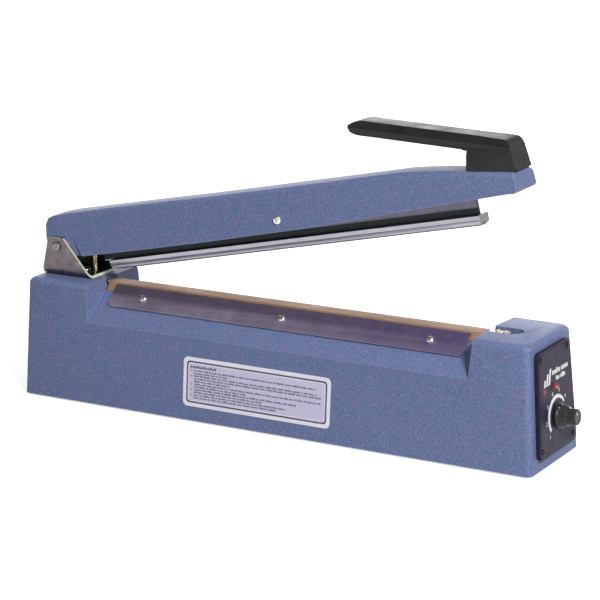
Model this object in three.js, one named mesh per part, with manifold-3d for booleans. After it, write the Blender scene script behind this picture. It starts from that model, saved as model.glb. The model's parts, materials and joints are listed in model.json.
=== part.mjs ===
// Hand-operated impulse heat sealer with a cast base and a hinged press arm.
// Millimetres, +Z up, X along the machine (hinge end at -X, control end at +X), front side at -Y.
// The machine is drawn from the middle of its base, at the level the rubber feet stand on.
import * as THREE from "three";
import { mergeVertices } from "three/addons/utils/BufferGeometryUtils.js";
import Module from "manifold-3d";

const wasm = await Module();
wasm.setup();

// ---- driving dimensions -------------------------------------------------------------------------

const BASE = {
  controlEnd: 265, // at the floor, from the middle
  hingeEnd: 265.4,
  halfWidth: 50.61, // at the casting's lower edge
  height: 113,
  endDraft: 7.8, // how far the control end leans in over the height
  hingeDraft: 2, // and the hinge end
  frontDraft: 10.35, // and the front side
  rearDraft: 4.2, // and the rear side
  rim: 1.5, // lower edge of the casting, above the floor
  wall: 3.6,
  topWall: 5,
  cornerRadius: 6,
  topEdgeRadius: 5,
};
// The saddle between the two end blocks: a flat ridge with a slope down to each side.
const SADDLE = { ridgeHalf: 7.2, ridgeTop: 107.6, slopeFootY: 43.6, slopeFootZ: 77.9 };
const PIVOT = { x: -242, z: 141 }; // hinge pin axis, along Y
const OPEN_ANGLE = THREE.MathUtils.degToRad(12.2); // the arm stands open in the modelled pose
const SHELL_RISE = THREE.MathUtils.degToRad(0.5); // the arm's casting is this much steeper than its bar
const JAW = { start: -194, end: 200 }; // press bar ends when the arm is shut
const CLOTH = { start: -193.2, end: 198, top: 110.1, thickness: 0.3, tuckedTo: 13.4 };
const PLATE = { start: -182, end: 188.4, thickness: 1.5, screwPitch: 150, screwMiddle: 3.2 };
const SLOT_HALF = 9.4; // half width of the terminal pockets in the end blocks
const EAR = { inner: 19.3, outer: 21.5, bendRadius: 5.5 }; // hinge bracket side plates
const PIN_RADIUS = 3.5;
const RUNNING = 0.15; // radial clearance of turning and sliding fits
const GAP = 0.3; // clearance between pieces that rest on each other
const ROD = { x: -213.3, radius: 1.5, top: 149.1, bottom: 84 };
const KNOB_AXIS = { y: -0.5, s: 43.2 }; // on the control panel's own face
const LAMP = { y: -3.9, s: 70.2, radius: 3.1 };
const PANEL = { low: 12.7, high: 105, bottomHalf: 37.6, topHalf: 32.5, back: 0.3, front: 4.4 };
const WINDOW = { half: 24, low: 28, high: 88 }; // opening behind the control panel
const LABEL = { middle: -8.2, half: 77.2, low: 15, high: 61, radius: 5 };
const CORD_INLET = { x: -222, z: 58, holeRadius: 7.3 };
const FOOT_PLACES = [
  [-232, -31],
  [232, -31],
  [-232, 31],
  [232, 31],
];
const PLATE_SCREW_X = [-1, 0, 1].map((i) => PLATE.screwMiddle + i * PLATE.screwPitch);
const PLATE_SCREW_Y = 17.4; // on the slope
const BOLT_X = [-250, -224]; // hinge bracket bolts
// Wire terminals in the pockets of the two end blocks.
const TERMINAL = { floor: 103.3, halfWidth: 4, insulatorHalf: 5.5, insulatorFloor: 98.3 };

// The press arm, measured from the hinge pin: x along the arm, z up from it.
const ARM = { bottomHalf: 22, topHalf: 16, cornerRadius: 5, wall: 3.2, roof: 3.4 };
const PRESS = {
  pivotX: 248.4, // cross screw that the press bar rocks on
  pivotZ: -1.7,
  flangeTop: -21,
  flangeBottom: -29.4,
  rubberBottom: -30.6,
};
const HANDLE_SCREW_X = [452, 473];
const STRIKER_X = 29.5; // presses the switch's rod

// ---- colours ------------------------------------------------------------------------------------

const finish = (color, roughness, metalness) =>
  new THREE.MeshStandardMaterial({ color, roughness, metalness });
const MATERIAL = {
  paint: finish(0x6a78b4, 0.5, 0.1),
  black: finish(0x17181a, 0.45, 0),
  panel: finish(0x2b2438, 0.4, 0),
  rubber: finish(0x1c1c1c, 0.9, 0),
  silicone: finish(0x8f3a2c, 0.8, 0),
  steel: finish(0x8b8790, 0.35, 0.9),
  aluminium: finish(0xc3c2cc, 0.35, 0.9),
  brass: finish(0xb08d3c, 0.35, 0.9),
  copper: finish(0xa4562c, 0.4, 0.8),
  cloth: finish(0xa87f55, 0.7, 0),
  ceramic: finish(0xe6e1d4, 0.6, 0),
  board: finish(0x2f6b3c, 0.6, 0),
  lamp: finish(0xc02020, 0.25, 0),
  label: finish(0xdcdcf0, 0.6, 0),
  core: finish(0x55565c, 0.5, 0.7),
  insulator: finish(0xd8d2c4, 0.7, 0),
};

// ---- solids -------------------------------------------------------------------------------------

// A closed three.js geometry as a solid that can be joined and cut.
function solid(geometry) {
  const bare = geometry.clone();
  bare.deleteAttribute("normal");
  bare.deleteAttribute("uv");
  const merged = mergeVertices(bare, 1e-4);
  return new wasm.Manifold(
    new wasm.Mesh({
      numProp: 3,
      vertProperties: new Float32Array(merged.attributes.position.array),
      triVerts: new Uint32Array(merged.index.array),
    }),
  );
}

function geometryOf(made) {
  const mesh = made.getMesh();
  const geometry = new THREE.BufferGeometry();
  geometry.setAttribute("position", new THREE.BufferAttribute(mesh.vertProperties, 3));
  geometry.setIndex(new THREE.BufferAttribute(mesh.triVerts, 1));
  geometry.computeVertexNormals();
  return geometry;
}

const join = (first, ...others) => others.reduce((made, other) => made.add(other), first);
const cut = (first, ...others) => others.reduce((made, other) => made.subtract(other), first);

const box = (x0, x1, y0, y1, z0, z1) =>
  solid(
    new THREE.BoxGeometry(x1 - x0, y1 - y0, z1 - z0).translate(
      (x0 + x1) / 2,
      (y0 + y1) / 2,
      (z0 + z1) / 2,
    ),
  );

const outline = (points) => new THREE.Shape(points.map(([a, b]) => new THREE.Vector2(a, b)));

// A rectangle with round corners; the half width may change from bottom to top.
function roundedOutline(bottomHalf, topHalf, low, high, radius) {
  const corners = [
    [bottomHalf, low],
    [topHalf, high],
    [-topHalf, high],
    [-bottomHalf, low],
  ].map(([a, b]) => new THREE.Vector2(a, b));
  const shape = new THREE.Shape();
  corners.forEach((corner, i) => {
    const before = corners[(i + 3) % 4].clone().sub(corner).setLength(radius).add(corner);
    const after = corners[(i + 1) % 4].clone().sub(corner).setLength(radius).add(corner);
    if (i === 0) shape.moveTo(before.x, before.y);
    else shape.lineTo(before.x, before.y);
    shape.quadraticCurveTo(corner.x, corner.y, after.x, after.y);
  });
  shape.closePath();
  return shape;
}

const extruded = (shape, depth, curveSegments = 4) =>
  new THREE.ExtrudeGeometry(shape, { depth, bevelEnabled: false, curveSegments });

// An outline in X and Z, given thickness along Y.
const sideways = (shape, y0, y1, curveSegments) =>
  solid(extruded(shape, y1 - y0, curveSegments).rotateX(Math.PI / 2).translate(0, y1, 0));

// An outline in Y and Z, run along X.
const ALONG_X = new THREE.Matrix4().makeBasis(
  new THREE.Vector3(0, 1, 0),
  new THREE.Vector3(0, 0, 1),
  new THREE.Vector3(1, 0, 0),
);
const lengthways = (shape, x0, x1, curveSegments) =>
  solid(extruded(shape, x1 - x0, curveSegments).applyMatrix4(ALONG_X).translate(x0, 0, 0));

// An outline in X and Y, given height along Z.
const upright = (shape, z0, z1, curveSegments) =>
  solid(extruded(shape, z1 - z0, curveSegments).translate(0, 0, z0));

// A round piece from (radius, height) points that start and end on the axis, about Z.
const turned = (points, segments = 16) =>
  solid(
    new THREE.LatheGeometry(
      points.map(([r, h]) => new THREE.Vector2(r, h)),
      segments,
    ).rotateX(Math.PI / 2),
  );
const cylinder = (radius, z0, z1, segments = 16) =>
  turned(
    [
      [0, z0],
      [radius, z0],
      [radius, z1],
      [0, z1],
    ],
    segments,
  );
const alongY = (made) => made.rotate([90, 0, 0]); // +Z goes to -Y
const alongX = (made) => made.rotate([0, 90, 0]); // +Z goes to +X

// A skin through rings of points, closed by a flat cap at each end. Rings run anticlockwise
// as seen from the last ring looking back.
function loft(rings) {
  const count = rings[0].length;
  const positions = rings.flat().flat();
  const index = [];
  for (let r = 0; r + 1 < rings.length; r++)
    for (let i = 0; i < count; i++) {
      const a = r * count + i;
      const b = r * count + ((i + 1) % count);
      index.push(a, b, b + count, a, b + count, a + count);
    }
  const last = (rings.length - 1) * count;
  for (let i = 1; i + 1 < count; i++) {
    index.push(0, i + 1, i);
    index.push(last, last + i, last + i + 1);
  }
  const geometry = new THREE.BufferGeometry();
  geometry.setAttribute("position", new THREE.Float32BufferAttribute(positions, 3));
  geometry.setIndex(index);
  return solid(geometry);
}

// A screw along Z with its head above z = 0: pan head with a slot.
function panScrew(headRadius, headHeight, shankRadius, length, segments = 14) {
  const screw = turned(
    [
      [0, -length],
      [shankRadius, -length],
      [shankRadius, 0],
      [headRadius, 0],
      [headRadius, headHeight * 0.45],
      [headRadius * 0.72, headHeight * 0.88],
      [0, headHeight],
    ],
    segments,
  );
  const slotHalf = headRadius * 0.14;
  const slotFloor = headHeight * 0.5;
  const reach = headRadius + 1;
  return cut(screw, box(-reach, reach, -slotHalf, slotHalf, slotFloor, headHeight + 1));
}

// ---- scene graph --------------------------------------------------------------------------------

const machine = new THREE.Group();
machine.name = "impulse_sealer";

function place(parent, name, made, material) {
  const mesh = new THREE.Mesh(geometryOf(made), MATERIAL[material]);
  mesh.name = name;
  parent.add(mesh);
  return mesh;
}

// ---- base housing -------------------------------------------------------------------------------

const levelRounding = (z, top, radius) =>
  z > top - radius ? radius - Math.sqrt(Math.max(0, radius ** 2 - (z - top + radius) ** 2)) : 0;

// How far out a side with this draft stands at floor level.
const sideAtFloor = (draft) => BASE.halfWidth + (draft * BASE.rim) / BASE.height;

// One horizontal ring of the tapered, round-cornered base, drawn in by inset.
function baseRing(z, top, inset, edgeRadius) {
  const share = z / BASE.height;
  const rounding = inset + levelRounding(z, top, edgeRadius);
  const right = BASE.controlEnd - BASE.endDraft * share - rounding;
  const left = BASE.hingeEnd - BASE.hingeDraft * share - rounding;
  const front = sideAtFloor(BASE.frontDraft) - BASE.frontDraft * share - rounding;
  const rear = sideAtFloor(BASE.rearDraft) - BASE.rearDraft * share - rounding;
  const radius = Math.max(BASE.cornerRadius - inset, 3);
  const steps = 5;
  const ring = [];
  for (const [sx, sy, start] of [
    [right, rear, 0],
    [-left, rear, 90],
    [-left, -front, 180],
    [right, -front, 270],
  ])
    for (let i = 0; i <= steps; i++) {
      const angle = THREE.MathUtils.degToRad(start + (90 * i) / steps);
      ring.push([
        sx - Math.sign(sx) * radius + radius * Math.cos(angle),
        sy - Math.sign(sy) * radius + radius * Math.sin(angle),
        z,
      ]);
    }
  return ring;
}

const slopeAngle = Math.atan2(
  SADDLE.ridgeTop - SADDLE.slopeFootZ,
  SADDLE.slopeFootY - SADDLE.ridgeHalf,
);
const slopeNormal = [Math.sin(slopeAngle), Math.cos(slopeAngle)]; // outward share along |y| and z
// A point that lies `out` above the rear slope, level with distance y on it.
const overSlope = (y, out) => [
  y + slopeNormal[0] * out,
  SADDLE.slopeFootZ + (SADDLE.slopeFootY - y) * Math.tan(slopeAngle) + slopeNormal[1] * out,
];
const mirrored = (points) => [...points, ...points.map(([y, z]) => [-y, z]).reverse()];

// Everything above the saddle, raised and run out at both ends; down thickens it into the casting.
function saddleSpace(stations, down) {
  const far = BASE.halfWidth + 12;
  const footZ = overSlope(far, 0)[1];
  const ceiling = 2 * BASE.height;
  const lower = [
    [-far, footZ],
    [-SADDLE.ridgeHalf, SADDLE.ridgeTop],
    [SADDLE.ridgeHalf, SADDLE.ridgeTop],
    [far, footZ],
  ];
  return loft(
    stations.map(([x, raise]) => [
      ...lower.map(([y, z]) => [x, y, z + raise - down]),
      [x, far, ceiling],
      [x, -far, ceiling],
    ]),
  );
}

const hingeWall = [
  [-196.6, 42],
  [-195.8, 30],
  [-194.9, 12],
  [-194.3, 3],
  [-193.5, 0],
];
const controlWall = [
  [201.5, 0],
  [202.3, 6],
  [205.5, 42],
];
const frontTilt = Math.atan2(BASE.frontDraft, BASE.height);
const rearTilt = Math.atan2(BASE.rearDraft, BASE.height);
const endTilt = Math.atan2(BASE.endDraft, BASE.height);

// Turns a solid whose Z is the outward normal so that it stands on the slope of one side.
const onSlope = (made, side, x, y, out) => {
  const [py, pz] = overSlope(y, out);
  const lean = THREE.MathUtils.radToDeg(slopeAngle);
  return made.rotate([side > 0 ? -lean : lean, 0, 0]).translate([x, side * py, pz]);
};

function panelCorners() {
  return [
    [-31.5, 19],
    [31.5, 19],
    [-27.5, 99],
    [27.5, 99],
  ];
}
// Solids drawn on the end face: x outward, y across, z up the face.
const onEnd = (made) =>
  made.rotate([0, -THREE.MathUtils.radToDeg(endTilt), 0]).translate([BASE.controlEnd, 0, 0]);

function baseHousing() {
  const levels = [BASE.rim, 108, 109.2, 110.5, 111.7, 112.6, BASE.height];
  const outside = loft(levels.map((z) => baseRing(z, BASE.height, 0, BASE.topEdgeRadius)));
  const roof = BASE.height - BASE.topWall;
  const hollow = loft([-1, 103, 105.5, 107.2, roof].map((z) => baseRing(z, roof, BASE.wall, 5)));
  const saddle = saddleSpace([...hingeWall, ...controlWall], 0);
  const widen = (stations, by) => stations.map(([x, raise]) => [x + by, raise]);
  const saddleUnder = saddleSpace([...widen(hingeWall, -4), ...widen(controlWall, 4)], 5.4);
  let body = cut(outside, cut(hollow, saddleUnder));
  // cast blocks under the two terminal pockets
  body = join(
    body,
    box(196, 240, -13.5, 13.5, 93.5, 110),
    box(-208, -190, -13.5, 13.5, 93.5, 110).subtract(saddle),
  );
  body = cut(body, saddle);
  body = cut(body, terminalPocket(199.5, 233.5, 1), terminalPocket(-203.8, -192, -1));
  // bosses for the bottom plate's screws, tied to the side walls
  for (const [x, y] of FOOT_PLACES) {
    const side = Math.sign(y);
    const boss = join(
      cylinder(6, 4.9, 19).translate([x, y, 0]),
      box(x - 2, x + 2, Math.min(y, side * 47), Math.max(y, side * 47), 4.9, 19),
    );
    body = join(body, boss).subtract(cylinder(1.9, 0, 17, 12).translate([x, y, 0]));
  }
  for (const side of [-1, 1])
    for (const x of PLATE_SCREW_X)
      body = cut(body, onSlope(cylinder(1.9, -12, 4, 12), side, x, PLATE_SCREW_Y, 0));
  for (const x of BOLT_X) body = cut(body, cylinder(2.5, 90, 120, 12).translate([x, 0, 0]));
  body = cut(body, cylinder(ROD.radius + RUNNING, 90, 120, 16).translate([ROD.x, 0, 0]));
  // control end: window for the timer and pilot holes for the panel's screws
  body = cut(
    body,
    onEnd(box(-12, 4, -WINDOW.half, WINDOW.half, WINDOW.low, WINDOW.high)),
    ...panelCorners().map(([y, s]) => onEnd(alongX(cylinder(1.5, -12, 4, 10)).translate([0, y, s]))),
  );
  // hole for the mains lead, low in the rear wall at the hinge end
  const inlet = alongY(cylinder(CORD_INLET.holeRadius, -9, 9, 20)).translate([CORD_INLET.x, 0, CORD_INLET.z]);
  return cut(
    body,
    inlet
      .rotate([THREE.MathUtils.radToDeg(rearTilt), 0, 0])
      .translate([0, sideAtFloor(BASE.rearDraft), 0]),
  );
}

// A round-ended pocket from the saddle into an end block, toward `way`.
function terminalPocket(x0, x1, way) {
  const middle = way > 0 ? x1 - SLOT_HALF : x0 + SLOT_HALF;
  const floor = 98;
  return join(
    cylinder(SLOT_HALF, floor, 120, 24).translate([middle, 0, 0]),
    way > 0
      ? box(x0, middle, -SLOT_HALF, SLOT_HALF, floor, 120)
      : box(middle, x1, -SLOT_HALF, SLOT_HALF, floor, 120),
  );
}

place(machine, "base_housing", baseHousing(), "paint");

// ---- underside ----------------------------------------------------------------------------------

function bottomPlate() {
  const inset = BASE.wall + 0.7;
  const shape = new THREE.Shape(
    baseRing(4, BASE.height, inset, 1).map(([x, y]) => new THREE.Vector2(x, y)),
  );
  const holes = FOOT_PLACES.map(([x, y]) => cylinder(2.2, 0, 9, 12).translate([x, y, 0]));
  return cut(upright(shape, 3.2, 4.6), ...holes);
}
place(machine, "bottom_plate", bottomPlate(), "steel");

FOOT_PLACES.forEach(([x, y], i) => {
  const foot = turned(
    [
      [0, 0],
      [8, 0],
      [9.5, 1],
      [9.5, 2.9],
      [0, 2.9],
    ],
    20,
  );
  const bored = cut(foot, cylinder(5, -1, 1.6, 16), cylinder(2.2, 0, 4, 12));
  place(machine, `rubber_foot_${i + 1}`, bored.translate([x, y, 0]), "rubber");
  const screw = panScrew(4.2, 1.1, 1.7, 14, 12).rotate([180, 0, 0]);
  place(machine, `foot_screw_${i + 1}`, screw.translate([x, y, 1.5]), "steel");
});

// ---- sealing strip ------------------------------------------------------------------------------

place(
  machine,
  "insulating_strip",
  box(-194.5, 199, -6.4, 6.4, SADDLE.ridgeTop + 0.2, SADDLE.ridgeTop + 1.6),
  "insulator",
);
place(machine, "heating_wire", box(-195.8, 205.5, -1.4, 1.4, 109.35, 109.6), "steel");

function releaseCloth() {
  const strip = (out, top, edge) => [overSlope(CLOTH.tuckedTo, out), overSlope(8, out), [edge, top]];
  const outer = strip(0.3 + CLOTH.thickness, CLOTH.top, 7.4);
  const inner = strip(0.3, CLOTH.top - CLOTH.thickness, 7.15);
  return lengthways(
    outline([...mirrored(outer), ...mirrored(inner).reverse()]),
    CLOTH.start,
    CLOTH.end,
  );
}
place(machine, "release_cloth", releaseCloth(), "cloth");

function clampPlate(side) {
  const low = 0.9;
  const high = low + PLATE.thickness;
  const lipInner = [8.9, 108.1];
  const lipOuter = [9.95, 109.2];
  const section = [
    overSlope(27.6, low),
    overSlope(27.6, high),
    overSlope(13, high),
    lipOuter,
    lipInner,
    overSlope(12.6, low),
  ];
  const strip = lengthways(
    outline(section.map(([y, z]) => [side * y, z])),
    PLATE.start,
    PLATE.end,
  );
  // the lower corners are round
  const middle = (PLATE.start + PLATE.end) / 2;
  const half = (PLATE.end - PLATE.start) / 2;
  const mask = upright(roundedOutline(half, half, -20, 20, 5), -6, 9);
  const masked = strip.intersect(
    onSlope(side > 0 ? mask : mask.rotate([0, 0, 180]), side, middle, 11.85, 0),
  );
  const holes = PLATE_SCREW_X.map((x) =>
    onSlope(cylinder(2.1, -5, 8, 12), side, x, PLATE_SCREW_Y, 0),
  );
  return cut(masked, ...holes);
}
for (const [side, word] of [
  [-1, "front"],
  [1, "rear"],
]) {
  place(machine, `${word}_clamp_plate`, clampPlate(side), "steel");
  PLATE_SCREW_X.forEach((x, i) => {
    const screw = onSlope(panScrew(3.7, 2.1, 1.6, 9), side, x, PLATE_SCREW_Y, 2.55);
    place(machine, `${word}_plate_screw_${i + 1}`, screw, "steel");
  });
}

// Brass terminals for the heating wire, each on a ceramic block in its pocket. The clamping screws
// are one piece with their terminal.
for (const [word, x0, x1, top, screwPlaces] of [
  ["hinge_end", -201.3, -193.8, 108.6, [-198.6]],
  ["control_end", 205.4, 221, 110.9, [209.6, 216.4]],
]) {
  const { floor, halfWidth, insulatorHalf, insulatorFloor } = TERMINAL;
  const insulator = box(x0, x1, -insulatorHalf, insulatorHalf, insulatorFloor, floor - GAP);
  place(machine, `${word}_insulator`, insulator, "ceramic");
  const sunk = 0.4; // the head is bedded this far into the block
  const heads = screwPlaces.map((x) =>
    panScrew(2.6, 1.4 + sunk, 1.2, 3, 12).translate([x, 0, top - sunk]),
  );
  const block = box(x0 + 1, x1 - 1, -halfWidth, halfWidth, floor, top);
  place(machine, `${word}_terminal`, join(block, ...heads), "brass");
}

// ---- hinge bracket and pin ----------------------------------------------------------------------

function hingeBracket() {
  const floor = BASE.height + 0.25;
  const sheet = EAR.outer - EAR.inner;
  const channel = new THREE.Shape();
  const bend = EAR.bendRadius;
  channel.moveTo(-EAR.outer, 156);
  channel.lineTo(-EAR.outer, floor + bend);
  channel.absarc(-EAR.outer + bend, floor + bend, bend, Math.PI, 1.5 * Math.PI, false);
  channel.absarc(EAR.outer - bend, floor + bend, bend, 1.5 * Math.PI, 2 * Math.PI, false);
  channel.lineTo(EAR.outer, 156);
  channel.lineTo(EAR.inner, 156);
  channel.absarc(EAR.outer - bend, floor + bend, bend - sheet, 2 * Math.PI, 1.5 * Math.PI, true);
  channel.absarc(-EAR.outer + bend, floor + bend, bend - sheet, 1.5 * Math.PI, Math.PI, true);
  channel.lineTo(-EAR.inner, 156);
  channel.closePath();
  // side view: a tall trapezium with a leaning front edge and round upper corners
  const side = new THREE.Shape();
  side.moveTo(-258.5, 112);
  side.lineTo(-203.6, 112);
  side.lineTo(-204.8, 114.4);
  side.lineTo(-233.6, 148.4);
  side.quadraticCurveTo(-235.3, 150.2, -238.5, 150.2);
  side.lineTo(-248.5, 149.7);
  side.quadraticCurveTo(-251.6, 149.4, -252.4, 146.5);
  side.lineTo(-258.5, 120);
  side.closePath();
  const hole = PIN_RADIUS + RUNNING;
  return cut(
    lengthways(channel, -260, -200, 5).intersect(sideways(side, -30, 30, 4)),
    alongY(cylinder(hole, -40, 40, 24)).translate([PIVOT.x, 0, PIVOT.z]),
    ...BOLT_X.map((x) => cylinder(2.9, 110, 119, 12).translate([x, 0, 0])),
    cylinder(2.8, 110, 119, 16).translate([ROD.x, 0, 0]),
  );
}
place(machine, "hinge_bracket", hingeBracket(), "steel");

BOLT_X.forEach((x, i) => {
  const bolt = panScrew(5, 3, 2.2, 15).translate([x, 0, BASE.height + 2.7]);
  place(machine, `bracket_bolt_${i + 1}`, bolt, "steel");
});

function hingePin() {
  const seat = EAR.outer + 0.2;
  const head = 4.6;
  return turned(
    [
      [0, -seat - 2.4],
      [head * 0.7, -seat - 2.2],
      [head, -seat - 1.2],
      [head, -seat],
      [PIN_RADIUS, -seat],
      [PIN_RADIUS, seat],
      [head, seat],
      [head, seat + 1.2],
      [head * 0.7, seat + 2.2],
      [0, seat + 2.4],
    ],
    24,
  );
}
place(machine, "hinge_pin", alongY(hingePin()).translate([PIVOT.x, 0, PIVOT.z]), "steel");

// Torsion spring about the pin; its legs bear on the bracket and under the arm's roof.
function returnSpring() {
  const ring = cut(cylinder(8, -11, 11, 24), cylinder(5.2, -12, 12, 24));
  const leg = (angle, y0, y1, reach) =>
    box(5.4, 7.8, y0, y1, 0, reach).rotate([0, angle, 0]);
  return join(alongY(ring), leg(152, -11, -8.6, 22.6), leg(42, 8.6, 11, 32)).translate([
    PIVOT.x,
    0,
    PIVOT.z,
  ]);
}
place(machine, "return_spring", returnSpring(), "steel");

// ---- seal switch --------------------------------------------------------------------------------

const rod = turned(
  [
    [0, ROD.bottom],
    [ROD.radius, ROD.bottom],
    [ROD.radius, ROD.top - 1.8],
    [ROD.radius * 0.8, ROD.top - 0.7],
    [ROD.radius * 0.4, ROD.top - 0.15],
    [0, ROD.top],
  ],
  16,
);
place(machine, "switch_push_rod", rod.translate([ROD.x, 0, 0]), "brass");

function switchBracket() {
  const sheet = 1.5;
  // an angle fixed to the end wall side of the hollow, with the switch on its upright leg
  return join(
    box(-231, -196, 6.2, 6.2 + sheet, 40, 76),
    box(-231, -196, 6.2, 26, 38.5, 38.5 + sheet + 0.5),
    box(-216, -211, 24, 43.2, 38.5, 38.5 + sheet),
  );
}
place(machine, "switch_bracket", switchBracket(), "steel");
place(machine, "microswitch", box(-228, -200, -4.5, 5.8, 55, 71), "black");
place(
  machine,
  "microswitch_lever",
  join(
    box(-226, -206, -2, 2, 74, 74.5),
    box(-227.5, -226, -2, 2, 71.3, 74.5),
    alongY(cylinder(2.2, -2, 2, 12)).translate([-208, 0, 74.4]),
  ),
  "steel",
);

// ---- electrics inside the base ------------------------------------------------------------------

const CORE = { x0: -128, x1: -62, y: 27, z0: 5, z1: 61 };
function transformerCore() {
  const window = 9;
  return cut(
    box(CORE.x0, CORE.x1, -CORE.y + 8, CORE.y - 8, CORE.z0, CORE.z1),
    box(CORE.x0 + 11, CORE.x0 + 11 + window, -40, 40, CORE.z0 + 11, CORE.z1 - 11),
    box(CORE.x1 - 11 - window, CORE.x1 - 11, -40, 40, CORE.z0 + 11, CORE.z1 - 11),
  );
}
place(machine, "transformer_core", transformerCore(), "core");
place(
  machine,
  "transformer_coil",
  cut(
    box(CORE.x0 + 11.5, CORE.x1 - 11.5, -CORE.y, CORE.y, CORE.z0 + 11.5, CORE.z1 - 11.5),
    box(
      CORE.x0 + 11 + 8.7,
      CORE.x1 - 11 - 8.7,
      -CORE.y + 7.7,
      CORE.y - 7.7,
      CORE.z0,
      CORE.z1,
    ),
  ),
  "copper",
);

// ---- control end --------------------------------------------------------------------------------

const panelGroup = new THREE.Group(); // x outward, y across, z up the end face
panelGroup.position.x = BASE.controlEnd;
panelGroup.rotation.y = -endTilt;
machine.add(panelGroup);

function controlPanel() {
  const tray = lengthways(
    roundedOutline(PANEL.bottomHalf, PANEL.topHalf, PANEL.low, PANEL.high, 5),
    PANEL.back,
    PANEL.front,
  );
  const hollow = lengthways(
    roundedOutline(
      PANEL.bottomHalf - 2.2,
      PANEL.topHalf - 2.2,
      PANEL.low + 2.2,
      PANEL.high - 2.2,
      4,
    ),
    PANEL.back - 1,
    PANEL.front - 2.2,
  );
  const pillars = panelCorners().map(([y, s]) =>
    alongX(cylinder(3, PANEL.back, PANEL.front - 1, 12)).translate([0, y, s]),
  );
  const holes = panelCorners().map(([y, s]) =>
    alongX(cylinder(1.5, -2, 9, 10)).translate([0, y, s]),
  );
  return cut(
    join(cut(tray, hollow), ...pillars),
    ...holes,
    alongX(cylinder(4.6, -2, 9, 20)).translate([0, KNOB_AXIS.y, KNOB_AXIS.s]),
    alongX(cylinder(LAMP.radius + 0.3, -2, 9, 20)).translate([0, LAMP.y, LAMP.s]),
  );
}
place(panelGroup, "control_panel", controlPanel(), "panel");
panelCorners().forEach(([y, s], i) => {
  const screw = alongX(panScrew(2.6, 1.3, 1.2, 12, 12)).translate([PANEL.front + 0.15, y, s]);
  place(panelGroup, `panel_screw_${i + 1}`, screw, "steel");
});

const pilotLamp = turned(
  [
    [0, -9],
    [2.8, -9],
    [2.8, 1],
    [LAMP.radius, 1],
    [LAMP.radius, PANEL.front + 1.8],
    [LAMP.radius * 0.7, PANEL.front + 3.1],
    [0, PANEL.front + 3.6],
  ],
  20,
);
place(panelGroup, "pilot_lamp", alongX(pilotLamp).translate([0, LAMP.y, LAMP.s]), "lamp");

const onKnobAxis = (made) => alongX(made).translate([0, KNOB_AXIS.y, KNOB_AXIS.s]);
const potentiometer = cut(
  turned(
    [
      [0, -9],
      [9, -9],
      [9, 1.9],
      [4.2, 1.9],
      [4.2, 5.6],
      [0, 5.6],
    ],
    24,
  ),
  cylinder(3.3, -6, 12, 24),
);
place(panelGroup, "timer_potentiometer", onKnobAxis(potentiometer), "steel");
place(panelGroup, "timer_shaft", onKnobAxis(cylinder(3, -5, 20, 24)), "aluminium");

function timerKnob() {
  const body = turned(
    [
      [0, 6.2],
      [11, 6.2],
      [11, 7.8],
      [9.9, 8.5],
      [8.9, 15],
      [7.4, 15.8],
      [7.15, 23.2],
      [6.4, 24.1],
      [0, 24.1],
    ],
    24,
  );
  const pointer = box(-1, 1, 0, 8.6, 7, 15.3);
  return cut(join(body, pointer), cylinder(3.2, 5, 21, 24));
}
const POINTER_ANGLE = 120; // from the rear side, upward
place(panelGroup, "timer_knob", onKnobAxis(timerKnob().rotate([0, 0, POINTER_ANGLE])), "black");

const board = cut(
  box(-20.5, -18.9, -30, 30, 26, 90),
  alongX(cylinder(4, -30, -10, 12)).translate([0, KNOB_AXIS.y, KNOB_AXIS.s]),
);
place(panelGroup, "timer_board", board, "board");
place(
  panelGroup,
  "timer_relay",
  box(-36, -20.8, -12, 8, 60, 86),
  "black",
);

// ---- label and mains inlet ----------------------------------------------------------------------

const frontFace = new THREE.Group(); // x along, -y outward, z up the front face
frontFace.position.y = -sideAtFloor(BASE.frontDraft);
frontFace.rotation.x = -frontTilt;
machine.add(frontFace);
place(
  frontFace,
  "instruction_label",
  sideways(
    roundedOutline(LABEL.half, LABEL.half, LABEL.low, LABEL.high, LABEL.radius),
    -0.5,
    -0.15,
  ).translate([LABEL.middle, 0, 0]),
  "label",
);

const rearFace = new THREE.Group(); // x along, y outward, z up the rear face
rearFace.position.y = sideAtFloor(BASE.rearDraft);
rearFace.rotation.x = rearTilt;
machine.add(rearFace);
const grommet = cut(
  turned(
    [
      [0, -1.7],
      [9, -1.7],
      [10, -0.3],
      [6.9, -0.3],
      [6.9, 4.1],
      [9.4, 4.5],
      [9.4, 8],
      [0, 8],
    ],
    20,
  ),
  cylinder(3.6, -20, 20, 16),
);
place(
  rearFace,
  "mains_inlet_grommet",
  alongY(grommet).translate([CORD_INLET.x, 0, CORD_INLET.z]),
  "rubber",
);

// ---- press arm ----------------------------------------------------------------------------------
// The arm's own frame has its origin on the hinge pin, x along the arm and z up from it.

const arm = new THREE.Group();
arm.position.set(PIVOT.x, 0, PIVOT.z);
arm.rotation.y = -OPEN_ANGLE;
machine.add(arm);
// The casting and its handle, turned about the pin against the press bar.
const shell = new THREE.Group();
shell.rotation.y = -SHELL_RISE;
arm.add(shell);
const inShell = (x, z) => [
  x * Math.cos(SHELL_RISE) + z * Math.sin(SHELL_RISE),
  0,
  z * Math.cos(SHELL_RISE) - x * Math.sin(SHELL_RISE),
];

// [distance from the pin, top, bottom]
const ARM_STATIONS = [
  [-12, 12, -11],
  [-11, 24, -12],
  [-8.5, 27.4, -12],
  [-3, 28.6, -12],
  [13, 29, -12],
  [56, 28, -13.2],
  [102, 27, -14],
  [169, 25.2, -14.7],
  [277, 23.2, -14.4],
  [339, 22.3, -12.9],
  [377, 21.8, -11.4],
  [390, 20.8, -11],
  [404, 19.3, -10.5],
  [436, 15.4, -9.8],
  [478, 9.6, -8.8],
  [484.5, 8.4, -9.2],
  [486.5, 6, -7.2],
];

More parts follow.
